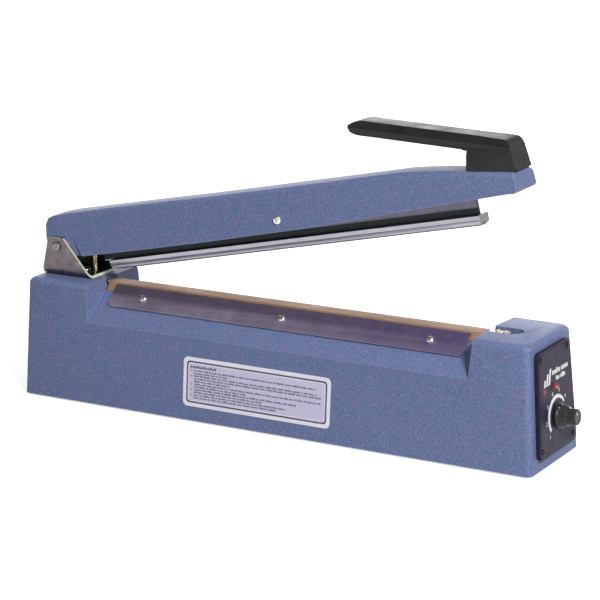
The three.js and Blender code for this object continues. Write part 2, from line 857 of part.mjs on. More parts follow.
// One cross-section of the arm: sides lean in, upper corners round.
function armRing([x, top, bottom], inset, dropRoof, lowerFloor) {
  const lean = (ARM.bottomHalf - ARM.topHalf) / 39;
  const floor = bottom - lowerFloor;
  const roof = top - dropRoof;
  const radius = Math.min(ARM.cornerRadius, (roof - floor) / 3);
  const halfAt = (z) => ARM.topHalf + lean * (25 - z) - inset;
  const right = [[halfAt(floor), floor]];
  const steps = 4;
  for (let i = 0; i <= steps; i++) {
    const angle = ((Math.PI / 2) * i) / steps;
    const shoulder = halfAt(roof - radius) - radius;
    right.push([shoulder + radius * Math.cos(angle), roof - radius + radius * Math.sin(angle)]);
  }
  return mirrored(right).map(([y, z]) => [x, y, z]);
}

function armCasting() {
  const outside = loft(ARM_STATIONS.map((station) => armRing(station, 0, 0, 0)));
  const open = ARM_STATIONS.slice(2, -2).map(([x, top, bottom], i, list) => [
    i === 0 ? -8 : i === list.length - 1 ? 481 : x,
    top,
    bottom,
  ]);
  const inside = loft(open.map((station) => armRing(station, ARM.wall, ARM.roof, 12)));
  // at the hinge the sides step in to run between the bracket's ears
  const pocket = outline([
    [-20, 12.3],
    [15.4, 12.3],
    [20.6, 4.4],
    [28, -16],
    [28, -24],
    [-20, -24],
  ]);
  const lugHalf = EAR.inner - 0.9;
  const lugWall = 3;
  const lugs = outline([
    [-12, 10],
    [24, 10],
    [30, -11.6],
    [6, -12],
    [-7, -11],
    [-12, -4],
  ]);
  let body = cut(outside, inside, sideways(pocket, -30, -lugHalf), sideways(pocket, lugHalf, 30));
  body = cut(body, sideways(outline([[-30, 9.8], [18, 9.8], [26, -20], [-30, -20]]), -30, 30));
  body = join(
    body,
    sideways(lugs, -lugHalf, -lugHalf + lugWall),
    sideways(lugs, lugHalf - lugWall, lugHalf),
  );
  const pivot = inShell(PRESS.pivotX, PRESS.pivotZ);
  const spotFace = 20.2;
  body = cut(
    body,
    alongY(cylinder(PIN_RADIUS + RUNNING, -40, 40, 24)),
    alongY(cylinder(2.65, -40, 40, 16)).translate(pivot),
    alongY(cylinder(5.4, spotFace, 40, 20)).translate(pivot),
    alongY(cylinder(5.4, -40, -spotFace, 20)).translate(pivot),
    ...HANDLE_SCREW_X.map((x) => cylinder(2.3, 0, 30, 12).translate([x, 0, 0])),
  );
  return body;
}
place(shell, "arm_casting", armCasting(), "paint");

const strikerFace = 2.6; // underside, where the push rod bears
place(
  arm,
  "switch_striker",
  join(
    box(STRIKER_X - 5, STRIKER_X + 5, -4, 4, strikerFace, 22),
    box(STRIKER_X - 9, STRIKER_X + 9, -6, 6, 22, 24.6),
  ),
  "steel",
);

// Press bar: a T-section with the heating jaw's counter face below, hung on one cross screw.
function pressBar() {
  const offset = -PIVOT.x; // arm shut: x along the arm is x along the base, from the pin
  const start = JAW.start + offset;
  const end = JAW.end + offset;
  const flange = lengthways(
    outline(
      mirrored([
        [5.3, PRESS.flangeBottom],
        [8.2, PRESS.flangeBottom],
        [8.9, PRESS.flangeBottom + 0.8],
        [8.9, -25.6],
        [8.4, -25.2],
        [8.9, -24.8],
        [8.9, PRESS.flangeTop - 0.5],
        [8.4, PRESS.flangeTop],
      ]),
    ),
    start,
    end,
  );
  const groove = box(start - 1, end + 1, -5.3, 5.3, PRESS.flangeBottom - 1, PRESS.flangeBottom + 1.6);
  const webRunsOn = 10; // past the flange, towards the pin
  const web = box(start - webRunsOn, end - 3.8, -2.4, 2.4, PRESS.flangeTop - 1, 4.2);
  const heel = sideways(
    outline([
      [start - 2, PRESS.flangeTop - 3],
      [start + 4.4, PRESS.flangeBottom - 1],
      [start - 2, PRESS.flangeBottom - 1],
    ]),
    -20,
    20,
  );
  return cut(
    join(flange, web),
    groove,
    heel,
    alongY(cylinder(2.65, -10, 10, 16)).translate([PRESS.pivotX, 0, PRESS.pivotZ]),
  );
}
place(arm, "press_bar", pressBar(), "aluminium");
place(
  arm,
  "silicone_pad",
  box(
    JAW.start - PIVOT.x + 5,
    JAW.end - PIVOT.x - 1,
    -5,
    5,
    PRESS.rubberBottom,
    PRESS.flangeBottom + 1.3,
  ),
  "silicone",
);

const pivotAt = [PRESS.pivotX, 0, PRESS.pivotZ];
const pivotScrew = panScrew(4.1, 2.3, 2.5, 45.5, 16).translate([0, 0, 20.5]);
place(arm, "press_bar_screw", alongY(pivotScrew).translate(pivotAt), "steel");
const nut = cut(cylinder(4.6, -24.2, -20.4, 6), cylinder(2.65, -30, -10, 16));
place(arm, "press_bar_nut", alongY(nut).translate(pivotAt), "steel");
const spacers = cut(cylinder(4.4, 2.7, 16.2, 16), cylinder(2.65, 0, 30, 16));
place(arm, "front_spacer", alongY(spacers).translate(pivotAt), "steel");
place(arm, "rear_spacer", alongY(spacers).rotate([0, 0, 180]).translate(pivotAt), "steel");

// ---- handle -------------------------------------------------------------------------------------

const GRIP = {
  tip: [334.8, 69.4],
  tipLow: [334.6, 63.4],
  topLeft: [348.5, 71],
  topRight: [480, 36.8],
  bottomLeft: [347.5, 57.3],
  inner: [444.4, 31.8],
};
const gripAngle = Math.atan2(GRIP.topLeft[1] - GRIP.topRight[1], GRIP.topRight[0] - GRIP.topLeft[0]);

function handleGrip() {
  const profile = new THREE.Shape();
  profile.moveTo(...GRIP.tip);
  profile.lineTo(...GRIP.tipLow);
  profile.quadraticCurveTo(338.5, 58.9, ...GRIP.bottomLeft);
  profile.lineTo(...GRIP.inner);
  profile.lineTo(440.8, 15.15);
  profile.lineTo(478, 9.95);
  profile.lineTo(488.2, 8.9);
  profile.lineTo(485.4, 30.5);
  profile.quadraticCurveTo(484.8, 35.4, ...GRIP.topRight);
  profile.lineTo(...GRIP.topLeft);
  profile.quadraticCurveTo(341.5, 72.4, ...GRIP.tip);
  // six-sided section, square to the grip's own axis
  const middle = 7; // depth of the widest line below the top
  const section = outline(
    mirrored([
      [10.5, -14.5],
      [14.8, -middle],
      [10.2, 0.6],
    ]),
  );
  const bar = lengthways(section, -190, 24)
    .rotate([0, THREE.MathUtils.radToDeg(gripAngle), 0])
    .translate([GRIP.topRight[0], 0, GRIP.topRight[1]]);
  const neckSection = outline(
    mirrored([
      [14.6, 5],
      [14.8, 28],
      [10.2, 44.6],
    ]),
  );
  const neck = lengthways(neckSection, GRIP.inner[0] - 4, 495).intersect(
    sideways(profile, -20, 20, 5),
  );
  const grip = bar.intersect(sideways(profile, -20, 20, 5));
  return cut(
    join(grip, neck),
    ...HANDLE_SCREW_X.map((x) => cylinder(2, 0, 26, 12).translate([x, 0, 0])),
  );
}
place(shell, "handle_grip", handleGrip(), "black");

const roofAt = (x) => {
  const next = ARM_STATIONS.findIndex(([at]) => at >= x);
  const [x0, top0] = ARM_STATIONS[next - 1];
  const [x1, top1] = ARM_STATIONS[next];
  return top0 + ((top1 - top0) * (x - x0)) / (x1 - x0) - ARM.roof;
};
HANDLE_SCREW_X.forEach((x, i) => {
  const screw = panScrew(4, 2.2, 1.8, 15, 12).rotate([180, 0, 0]);
  place(shell, `handle_screw_${i + 1}`, screw.translate([x, 0, roofAt(x) - 0.9]), "steel");
});

// The timer knob stands out past the base, so the machine is slid along X to put the origin
// under the middle of the whole of it.
const whole = new THREE.Box3().setFromObject(machine, true);
machine.position.x = -(whole.min.x + whole.max.x) / 2;
const part = new THREE.Group();
part.add(machine);

export default part;
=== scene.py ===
"""The looks of a hand-operated impulse heat sealer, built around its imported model.

Blender units are metres, +Z up, X along the machine. Sizes below are in millimetres unless said.
"""

import json
import math
import random

import bmesh
import bpy
from mathutils import Matrix, Vector

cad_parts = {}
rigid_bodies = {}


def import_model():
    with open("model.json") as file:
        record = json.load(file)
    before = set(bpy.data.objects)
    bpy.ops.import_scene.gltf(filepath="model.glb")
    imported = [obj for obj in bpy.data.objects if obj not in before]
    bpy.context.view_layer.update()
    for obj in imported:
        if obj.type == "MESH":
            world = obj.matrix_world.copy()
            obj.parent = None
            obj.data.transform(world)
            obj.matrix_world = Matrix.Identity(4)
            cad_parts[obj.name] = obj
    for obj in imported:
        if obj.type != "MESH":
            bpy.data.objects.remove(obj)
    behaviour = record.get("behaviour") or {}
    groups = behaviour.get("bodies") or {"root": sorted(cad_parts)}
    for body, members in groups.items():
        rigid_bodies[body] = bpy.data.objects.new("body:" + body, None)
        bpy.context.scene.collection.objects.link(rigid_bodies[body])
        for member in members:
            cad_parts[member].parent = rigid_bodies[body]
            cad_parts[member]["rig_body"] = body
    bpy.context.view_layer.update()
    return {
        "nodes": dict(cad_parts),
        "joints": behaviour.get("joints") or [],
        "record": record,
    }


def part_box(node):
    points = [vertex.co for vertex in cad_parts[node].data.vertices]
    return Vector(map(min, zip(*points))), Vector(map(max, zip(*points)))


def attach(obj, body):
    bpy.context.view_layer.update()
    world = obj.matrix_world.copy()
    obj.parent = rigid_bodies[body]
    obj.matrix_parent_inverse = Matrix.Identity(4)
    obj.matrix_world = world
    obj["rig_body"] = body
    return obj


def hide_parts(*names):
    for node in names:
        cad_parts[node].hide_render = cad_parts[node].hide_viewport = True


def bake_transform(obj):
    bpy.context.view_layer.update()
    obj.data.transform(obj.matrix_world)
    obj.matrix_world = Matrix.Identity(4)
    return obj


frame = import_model()

MM = 0.001
record = frame["record"]
nodes = frame["nodes"]
joints = {joint["name"]: joint for joint in frame["joints"]}
slot_of = {part["node"]: part["material_slot"] for part in record["subparts"]}
scene = bpy.context.scene


def add(name, data):
    """A new object in the scene."""
    made = bpy.data.objects.new(name, data)
    scene.collection.objects.link(made)
    return made


# ---- frames of reference ----


def framed(origin, across, up):
    """A frame whose X is across, whose Y is up, and whose Z points out of the face they lie in."""
    across, up = Vector(across).normalized(), Vector(up).normalized()
    columns = (across, up, across.cross(up))
    turn = Matrix([[column[i] for column in columns] for i in range(3)]).to_4x4()
    return Matrix.Translation(origin) @ turn


def standing(origin, axis):
    """A frame with its Z along axis."""
    turn = Vector(axis).to_track_quat("Z", "Y").to_matrix().to_4x4()
    return Matrix.Translation(origin) @ turn


HINGE = Vector(joints["arm_hinge"]["pos_m"])
OPEN_ANGLE = math.radians(-joints["arm_hinge"]["range_deg"][0])
# The arm's frame: on the hinge pin, X along the arm, Z up from it.
ARM = Matrix.Translation(HINGE) @ Matrix.Rotation(-OPEN_ANGLE, 4, "Y")
ARM_ACROSS = ARM.to_3x3() @ Vector((0, -1, 0))
# The casting and its handle are turned this much further about the pin than the press bar.
SHELL = ARM @ Matrix.Rotation(-math.radians(0.5), 4, "Y")

KNOB_AXIS = Vector(joints["timer_knob_turn"]["axis"])
PANEL_UP = Vector((-KNOB_AXIS.z, 0, KNOB_AXIS.x))
# The control panel's outer face, round the knob: X across it, Y up it, Z outward.
DIAL = framed(joints["timer_knob_turn"]["pos_m"], (0, 1, 0), PANEL_UP)

BASE_HEIGHT = 113
FRONT_LEAN = math.atan2(10.35, BASE_HEIGHT)  # the base's front side leans in this much
REAR_LEAN = math.atan2(4.2, BASE_HEIGHT)  # and its rear side
REAR_OUT = Vector((0, math.cos(REAR_LEAN), math.sin(REAR_LEAN)))
SLOPE = math.atan2(29.7, 36.4)  # of the saddle's two sides, under the clamp plates
SLOPE_OUT = {
    "front": Vector((0, -math.sin(SLOPE), math.cos(SLOPE))),
    "rear": Vector((0, math.sin(SLOPE), math.cos(SLOPE))),
}


def on_axis(node, axis):
    """A frame with its Z along axis, on a round CAD node's centre line, with its origin at the
    node's far end; and the node's length and radius, in millimetres."""
    turn = standing((0, 0, 0), axis)
    points = [turn.inverted() @ v.co for v in nodes[node].data.vertices]
    low = Vector(min(p[i] for p in points) for i in range(3))
    high = Vector(max(p[i] for p in points) for i in range(3))
    middle = (low + high) / 2
    origin = turn @ Vector((middle.x, middle.y, high.z))
    return standing(origin, axis), (high.z - low.z) / MM, (high.x - low.x) / 2 / MM


# ---- material building ----


class Surface:
    """A Principled material whose colour, roughness and bump are worked from patterns."""

    def __init__(self, name, colour, roughness, metallic=0.0, **sockets):
        self.material = bpy.data.materials.new(name)
        self.material.use_nodes = True
        self.material.diffuse_color = (*colour, 1)
        self.tree = self.material.node_tree
        self.shader = self.tree.nodes["Principled BSDF"]
        self.set("Base Color", (*colour, 1))
        self.set("Roughness", roughness)
        self.set("Metallic", metallic)
        for socket, value in sockets.items():
            self.set(socket.replace("_", " "), value)
        self.place = self.node("ShaderNodeTexCoord").outputs["Object"]
        self.height = None

    def set(self, socket, value):
        self.shader.inputs[socket].default_value = value

    def node(self, kind, inputs=None, **settings):
        """A node with its inputs linked or set: {input's name or number: socket or value}."""
        made = self.tree.nodes.new(kind)
        for key, value in settings.items():
            setattr(made, key, value)
        for key, value in (inputs or {}).items():
            if isinstance(value, bpy.types.NodeSocket):
                self.tree.links.new(value, made.inputs[key])
            else:
                made.inputs[key].default_value = value
        return made

    def stretched(self, stretch):
        """Object coordinates scaled by stretch, so that a pattern runs along one axis."""
        return self.node("ShaderNodeMapping", {"Vector": self.place, "Scale": stretch}).outputs[0]

    def noise(self, size, detail=3.0, stretch=(1, 1, 1), roughness=0.55):
        """Cloudy pattern with features of about size millimetres."""
        inputs = {"Vector": self.stretched(stretch), "Scale": 1 / (size * MM)}
        inputs |= {"Detail": detail, "Roughness": roughness}
        return self.node("ShaderNodeTexNoise", inputs).outputs["Fac"]

    def cells(self, size, feature):
        """Rounded cells of about size millimetres."""
        inputs = {"Vector": self.place, "Scale": 1 / (size * MM)}
        return self.node("ShaderNodeTexVoronoi", inputs, feature=feature).outputs["Distance"]

    def waves(self, pitch, direction, distortion=0.0):
        """Sine ridges, one every pitch millimetres along an axis."""
        inputs = {"Vector": self.place, "Scale": math.pi / 10 / (pitch * MM)}
        inputs |= {"Distortion": distortion, "Detail": 1.0}
        made = self.node("ShaderNodeTexWave", inputs, bands_direction=direction, wave_profile="SIN")
        return made.outputs["Fac"]

    def math(self, operation, *values):
        return self.node("ShaderNodeMath", dict(enumerate(values)), operation=operation).outputs[0]

    def ramp(self, factor, *stops):
        """Colours at places along factor: (place, colour), ..."""
        made = self.node("ShaderNodeValToRGB", {"Fac": factor})
        elements = made.color_ramp.elements
        while len(elements) < len(stops):
            elements.new(0.5)
        for element, (place, colour) in zip(elements, stops):
            element.position = place
            element.color = (*colour, 1)
        return made.outputs["Color"]

    def mixed(self, factor, first, second):
        """first where factor is 0, second where it is 1; each is a colour or a socket."""
        first, second = ((*c, 1) if isinstance(c, tuple) else c for c in (first, second))
        made = self.node("ShaderNodeMix", {0: factor, 6: first, 7: second}, data_type="RGBA")
        return made.outputs[2]

    def between(self, factor, low, high, source=(0.3, 0.7)):
        """factor's usual spread, mapped to low...high."""
        inputs = {"Value": factor, "From Min": source[0], "From Max": source[1]}
        inputs |= {"To Min": low, "To Max": high}
        return self.node("ShaderNodeMapRange", inputs).outputs[0]

    def along(self, axis, start, end, low=0.0, high=1.0):
        """low before start millimetres along an object axis, high after end."""
        split = self.node("ShaderNodeSeparateXYZ", {"Vector": self.place})
        return self.between(split.outputs[axis], low, high, (start * MM, end * MM))

    def pale_edges(self, radius, share):
        """share on edges sharper than radius millimetres, 0 on flat ground."""
        soft = self.node("ShaderNodeBevel", {"Radius": radius * MM}, samples=3)
        true = self.node("ShaderNodeNewGeometry")
        inputs = {0: soft.outputs[0], 1: true.outputs["Normal"]}
        same = self.node("ShaderNodeVectorMath", inputs, operation="DOT_PRODUCT")
        # the edge mask: wear on most finishes, and on the blue paint partly a painted highlight
        worn = self.between(same.outputs["Value"], 1.0, 0.0, (0.84, 0.985))
        return self.math("MULTIPLY", worn, share)

    def colour(self, socket):
        self.tree.links.new(socket, self.shader.inputs["Base Color"])

    def rough(self, factor, low, high):
        """Roughness between low and high, as factor rises."""
        self.tree.links.new(self.between(factor, low, high), self.shader.inputs["Roughness"])

    def bump(self, height, depth):
        """Raises the surface by height times depth millimetres, on top of earlier bumps."""
        inputs = {"Height": height, "Distance": depth * MM, "Strength": 1.0}
        if self.height is not None:
            inputs["Normal"] = self.height
        self.height = self.node("ShaderNodeBump", inputs).outputs[0]
        self.tree.links.new(self.height, self.shader.inputs["Normal"])

    def mottled(self, size, detail, dark, light, rough, depth):
        """Finishes the material with one cloudy pattern for colour, roughness and relief. dark and
        light are (place, colour), and rough is (low, high)."""
        clouds = self.noise(size, detail)
        self.colour(self.ramp(clouds, dark, light))
        self.rough(clouds, *rough)
        self.bump(clouds, depth)
        return self.material


def blue_paint():
    """Hammered powder coat: fine dimples, light and dark flakes, teal and violet clouds, paler on edges,
    partly as wear and partly as a painted highlight."""
    s = Surface("blue_hammered_paint", (0.122, 0.157, 0.312), 0.5)
    s.set("Specular IOR Level", 0.35)
    flakes = s.noise(1.1, detail=2.0)
    clouds = s.noise(7, detail=5.0, roughness=0.7)
    darkest, lightest = (0.074, 0.098, 0.235), (0.225, 0.265, 0.42)
    ground = s.ramp(flakes, (0.3, darkest), (0.5, (0.122, 0.157, 0.312)), (0.72, lightest))
    teal = s.mixed(s.between(clouds, 0.6, 0.0, (0.36, 0.5)), ground, (0.096, 0.169, 0.292))
    tinted = s.mixed(s.between(clouds, 0.0, 0.5, (0.5, 0.64)), teal, (0.174, 0.155, 0.314))
    # paler edges: partly wear, partly a painted highlight along the rounded edges
    s.colour(s.mixed(s.pale_edges(1.6, 0.45), tinted, (0.33, 0.36, 0.56)))
    s.rough(s.noise(1.4, detail=2.0), 0.44, 0.6)
    s.bump(s.cells(2.3, "SMOOTH_F1"), 0.07)
    s.bump(flakes, 0.045)
    return s.material


def zinc_steel():
    """Zinc-plated sheet: a faint lilac-grey bloom and rolling lines, pale on worn edges."""
    s = Surface("zinc_plated_sheet", (0.18, 0.155, 0.17), 0.38, metallic=1.0)
    bloom = s.noise(9, detail=5.0)
    lines = s.noise(1.3, stretch=(0.03, 1, 1), detail=2.0)
    dark, light = (0.13, 0.108, 0.12), (0.24, 0.22, 0.215)
    ground = s.ramp(bloom, (0.3, dark), (0.55, (0.18, 0.155, 0.17)), (0.75, light))
    s.colour(s.mixed(s.pale_edges(0.7, 0.8), ground, (0.86, 0.84, 0.74)))
    s.rough(lines, 0.28, 0.46)
    s.bump(lines, 0.02)
    return s.material


def lit_cut_edge():
    """The sheared edge of plated sheet, painted pale as the highlight along it."""
    s = Surface("sheared_edge_highlight", (0.78, 0.78, 0.58), 0.5, metallic=0.4)
    return s.mottled(0.8, 3.0, (0.3, (0.6, 0.6, 0.42)), (0.6, (0.86, 0.86, 0.68)), (0.4, 0.6), 0.02)


def plate_steel():
    """Dull plated clamp plates with fine lengthwise grain, pinkish in patches. Painted shade darkens them
    along the edge beside the sealing strip, and a painted darker reflection turns them violet towards the
    control end."""
    s = Surface("plated_clamp_plate", (0.39, 0.345, 0.45), 0.44, metallic=0.85)
    grain = s.noise(0.7, stretch=(0.02, 1, 1), detail=3.0)
    bloom = s.noise(22, detail=5.0)
    dark, light = (0.33, 0.28, 0.41), (0.5, 0.45, 0.55)
    ground = s.ramp(bloom, (0.28, dark), (0.5, (0.41, 0.36, 0.5)), (0.74, light))
    # painted shade: darker along the upper edge, beside the sealing strip
    painted_shade_by_strip = s.along("Z", 99.5, 103.5, 0.0, 0.75)
    # painted reflection: darker violet towards the control end
    painted_shade_to_controls = s.along("X", -60, 190, 0.0, 0.75)
    with_painted_shade = s.mixed(painted_shade_by_strip, ground, (0.1, 0.075, 0.15))
    with_painted_shade = s.mixed(painted_shade_to_controls, with_painted_shade, (0.135, 0.09, 0.31))
    blush = s.between(s.noise(8, detail=5.0), 0.0, 0.35, (0.46, 0.64))
    with_painted_shade = s.mixed(blush, with_painted_shade, (0.33, 0.2, 0.27))
    fine = s.mixed(s.between(s.noise(0.8, detail=1.0), 0.0, 0.25), with_painted_shade, (0.36, 0.33, 0.38))
    s.colour(s.mixed(s.pale_edges(0.6, 0.6), fine, (0.55, 0.53, 0.55)))
    s.rough(grain, 0.36, 0.56)
    s.bump(grain, 0.018)
    return s.material


def bright_steel():
    """Polished nickel plate with fine marks."""
    s = Surface("nickel_plate", (0.74, 0.74, 0.72), 0.2, metallic=1.0)
    dark, light = (0.55, 0.55, 0.54), (0.8, 0.8, 0.78)
    return s.mottled(0.5, 3.0, (0.3, dark), (0.6, light), (0.14, 0.3), 0.006)


def dark_steel(name, tone, size):
    """Oiled or varnished steel of one tone."""
    s = Surface(name, tone, 0.42, metallic=0.9)
    patches = s.noise(size, detail=4.0)
    darker, lighter = (tuple(share * c for c in tone) for share in (0.6, 1.5))
    s.colour(s.ramp(patches, (0.3, darker), (0.7, lighter)))
    s.rough(patches, 0.32, 0.5)
    s.bump(s.noise(size / 6, detail=2.0), 0.01)
    return s.material


def core_steel():
    """Stacked laminations under varnish: one thin line each."""
    s = Surface("laminated_core", (0.16, 0.16, 0.18), 0.45, metallic=0.7)
    sheets = s.waves(0.5, "Y")
    s.colour(s.ramp(sheets, (0.2, (0.07, 0.07, 0.08)), (0.8, (0.22, 0.22, 0.24))))
    s.rough(s.noise(6), 0.35, 0.55)
    s.bump(sheets, 0.05)
    return s.material


def aluminium():
    """Drawn aluminium with fine lines along it; the web is darker, partly a greyer tone of its own and
    partly painted shade under the arm, and painted black at its foot as the shadow just above the flange."""
    s = Surface("drawn_aluminium", (0.46, 0.45, 0.5), 0.34, metallic=1.0)
    lines = s.noise(0.45, stretch=(0.008, 1, 1), detail=4.0, roughness=0.7)
    dull = s.noise(14, detail=4.0)
    dark, light = (0.29, 0.28, 0.32), (0.6, 0.59, 0.63)
    ground = s.ramp(lines, (0.3, dark), (0.5, (0.43, 0.42, 0.47)), (0.7, light))
    flange = s.mixed(s.between(dull, 0.0, 0.5), ground, (0.35, 0.34, 0.39))
    # painted shade: the web under the arm is much darker than the flange
    web = s.mixed(s.between(dull, 0.0, 0.6), (0.15, 0.14, 0.19), (0.1, 0.095, 0.12))
    # painted shadow: a black foot on the web, just above the flange
    above_painted_shadow = s.along("Z", -15.6, -14.2)
    above_flange = s.along("Z", -21.1, -20.9)
    foot = s.mixed(above_painted_shadow, (0.022, 0.027, 0.027), web)
    s.colour(s.mixed(above_flange, flange, foot))
    s.rough(lines, 0.26, 0.46)
    s.bump(lines, 0.03)
    return s.material


def brass():
    """Pale turned brass with slight tarnish."""
    clean = (0.88, 0.78, 0.56)
    s = Surface("turned_brass", clean, 0.26, metallic=1.0)
    tarnish = s.noise(3.5, detail=5.0)
    s.colour(s.ramp(tarnish, (0.32, (0.45, 0.36, 0.2)), (0.6, clean)))
    s.rough(tarnish, 0.18, 0.38)
    s.bump(s.noise(0.4, detail=2.0), 0.008)
    return s.material


def copper_winding():
    """Layers of enamelled wire, side by side."""
    s = Surface("enamelled_winding", (0.42, 0.16, 0.06), 0.3, metallic=0.8, Coat_Weight=0.6)
    turns = s.waves(0.8, "Z", 0.4)
    s.colour(s.ramp(turns, (0.15, (0.13, 0.04, 0.015)), (0.7, (0.5, 0.2, 0.08))))
    s.rough(s.noise(4), 0.22, 0.42)
    s.bump(turns, 0.25)
    return s.material


def heating_ribbon():
    """Flat nickel-chrome ribbon, straw-coloured and blued from heat in places."""
    s = Surface("heating_ribbon", (0.4, 0.36, 0.3), 0.35, metallic=1.0)
    heat = s.noise(12, detail=3.0, stretch=(0.4, 1, 1))
    straw, blued = (0.3, 0.22, 0.13), (0.3, 0.31, 0.4)
    s.colour(s.ramp(heat, (0.3, straw), (0.55, (0.42, 0.39, 0.35)), (0.75, blued)))
    s.rough(s.noise(1.0), 0.25, 0.45)
    s.bump(s.noise(0.4, stretch=(0.05, 1, 1)), 0.006)
    return s.material


def moulded_plastic(name, tone, roughness, edge_tone, grain=0.02, gloss=0.3):
    """Moulded plastic: fine spark grain, smoother in places, paler on edges."""
    s = Surface(name, tone, roughness)
    s.set("Specular IOR Level", gloss)
    handled = s.noise(18, detail=4.0)
    lighter = tuple(1.7 * c + 0.004 for c in tone)
    ground = s.mixed(s.between(handled, 0.0, 1.0), tone, lighter)
    s.colour(s.mixed(s.pale_edges(0.9, 0.5), ground, edge_tone))
    s.rough(handled, roughness - 0.07, roughness + 0.1)
    s.bump(s.noise(0.45, detail=2.0), grain)
    return s.material


def rubber(name, tone, roughness):
    """Matte rubber, dusty in places."""
    s = Surface(name, tone, roughness, Sheen_Weight=0.15)
    pores = s.noise(0.6, detail=4.0)
    dusty = tuple(1.6 * c + 0.015 for c in tone)
    s.colour(s.mixed(s.between(s.noise(7, detail=4.0), 0.0, 0.8), tone, dusty))
    s.rough(pores, roughness - 0.08, roughness + 0.05)
    s.bump(pores, 0.04)
    return s.material


def release_cloth():
    """Glass cloth soaked in PTFE: a plain weave, browned in patches."""
    s = Surface("ptfe_glass_cloth", (0.31, 0.19, 0.11), 0.6)
    s.set("Specular IOR Level", 0.15)
    warp, weft = s.waves(0.85, "X"), s.waves(0.85, "Y")
    weave = s.math("MAXIMUM", warp, weft)
    ground = s.ramp(weave, (0.3, (0.22, 0.125, 0.07)), (0.95, (0.38, 0.235, 0.14)))
    scorch = s.noise(17, detail=4.0, stretch=(0.4, 1, 1))
    s.colour(s.mixed(s.between(scorch, 0.0, 0.55), ground, (0.23, 0.128, 0.078)))
    s.rough(scorch, 0.42, 0.6)
    s.bump(weave, 0.05)
    return s.material


def insulating_tape():
    """Cream woven tape under the wire."""
    s = Surface("woven_insulating_tape", (0.62, 0.57, 0.46), 0.85)
    weave = s.math("MAXIMUM", s.waves(0.7, "X"), s.waves(0.7, "Y"))
    s.colour(s.ramp(weave, (0.2, (0.42, 0.37, 0.28)), (0.9, (0.66, 0.61, 0.5))))
    s.bump(weave, 0.12)
    return s.material


def ceramic():
    """Unglazed steatite."""
    s = Surface("steatite", (0.74, 0.71, 0.63), 0.6)
    dark, light = (0.62, 0.58, 0.5), (0.78, 0.75, 0.68)
    return s.mottled(1.1, 5.0, (0.3, dark), (0.6, light), (0.5, 0.7), 0.03)


def circuit_board():
    """Green solder mask over copper tracks."""
    s = Surface("solder_mask", (0.03, 0.16, 0.06), 0.32, Coat_Weight=0.4)
    tracks = s.cells(4.5, "DISTANCE_TO_EDGE")
    s.colour(s.ramp(tracks, (0.08, (0.02, 0.1, 0.035)), (0.14, (0.05, 0.24, 0.09))))
    s.rough(s.noise(5), 0.25, 0.4)
    s.bump(s.between(tracks, 0.0, 1.0, (0.08, 0.12)), 0.04)
    return s.material


def red_lens():
    """Clear red moulding with a faint glow of its own."""
    s = Surface("red_lens", (0.3, 0.012, 0.012), 0.16, Coat_Weight=0.8, Transmission_Weight=0.25)
    s.set("Emission Color", (0.6, 0.02, 0.01, 1))
    s.set("Emission Strength", 0.1)
    dark, light = (0.18, 0.006, 0.006), (0.4, 0.022, 0.018)
    return s.mottled(1.6, 2.0, (0.3, dark), (0.7, light), (0.1, 0.22), 0.02)


def label_film():
    """Pale lilac film, uneven in tone, with the faint ripple of glue under it."""
    s = Surface("label_film", (0.8, 0.78, 0.88), 0.4, Coat_Weight=0.2)
    s.set("Coat Roughness", 0.22)
    age = s.noise(30, detail=4.0)
    s.colour(s.ramp(age, (0.3, (0.76, 0.74, 0.86)), (0.7, (0.84, 0.82, 0.9))))
    s.rough(s.noise(4), 0.34, 0.5)
    s.bump(s.noise(16, detail=2.0), 0.06)
    return s.material


def ink(name, tone):
    """Screen-printed ink, thin in places."""
    s = Surface(name, tone, 0.5)
    thin = tuple(0.82 * c + 0.05 for c in tone)
    return s.mottled(1.2, 3.0, (0.3, thin), (0.55, tone), (0.42, 0.6), 0.006)


WHITE_INK = ink("white_ink", (0.86, 0.86, 0.84))
DARK_INK = ink("dark_ink", (0.075, 0.062, 0.11))
LILAC_INK = ink("lilac_ink", (0.6, 0.56, 0.76))
RED_INK = ink("red_ink", (0.3, 0.022, 0.022))
FINISH = {
    "blue_paint": blue_paint(),
    "zinc_steel": zinc_steel(),
    "plate_steel": plate_steel(),
    "bright_steel": bright_steel(),
    "black_steel": dark_steel("black_oxide", (0.035, 0.035, 0.04), 3),
    "spring_steel": dark_steel("oiled_spring_wire", (0.1, 0.1, 0.11), 4),
    "core_steel": core_steel(),
    "aluminium": aluminium(),
    "brass": brass(),
    "copper": copper_winding(),
    "wire": heating_ribbon(),
    "black_plastic": moulded_plastic(
        "black_moulding", (0.0085, 0.0095, 0.0085), 0.38, (0.09, 0.09, 0.1), 0.03
    ),
    "panel_plastic": moulded_plastic(
        "panel_moulding", (0.012, 0.009, 0.022), 0.45, (0.06, 0.055, 0.085), gloss=0.15
    ),
    "rubber": rubber("black_rubber", (0.018, 0.018, 0.018), 0.82),
    "silicone": rubber("grey_silicone", (0.1, 0.09, 0.1), 0.6),
    "release_cloth": release_cloth(),
    "insulator": insulating_tape(),
    "ceramic": ceramic(),
    "circuit_board": circuit_board(),
    "red_lamp": red_lens(),
    "label": label_film(),
}


# ---- mesh building ----

SMOOTH_BELOW = math.radians(32)


def mesh_of(bm, name, smooth_below=SMOOTH_BELOW):
    """The finished mesh: faces outward, curves shaded smooth and real edges kept sharp."""
    bmesh.ops.recalc_face_normals(bm, faces=bm.faces)
    mesh = bpy.data.meshes.new(name)
    bm.to_mesh(mesh)
    bm.free()
    mesh.shade_smooth()
    mesh.set_sharp_from_angle(angle=smooth_below)
    return mesh


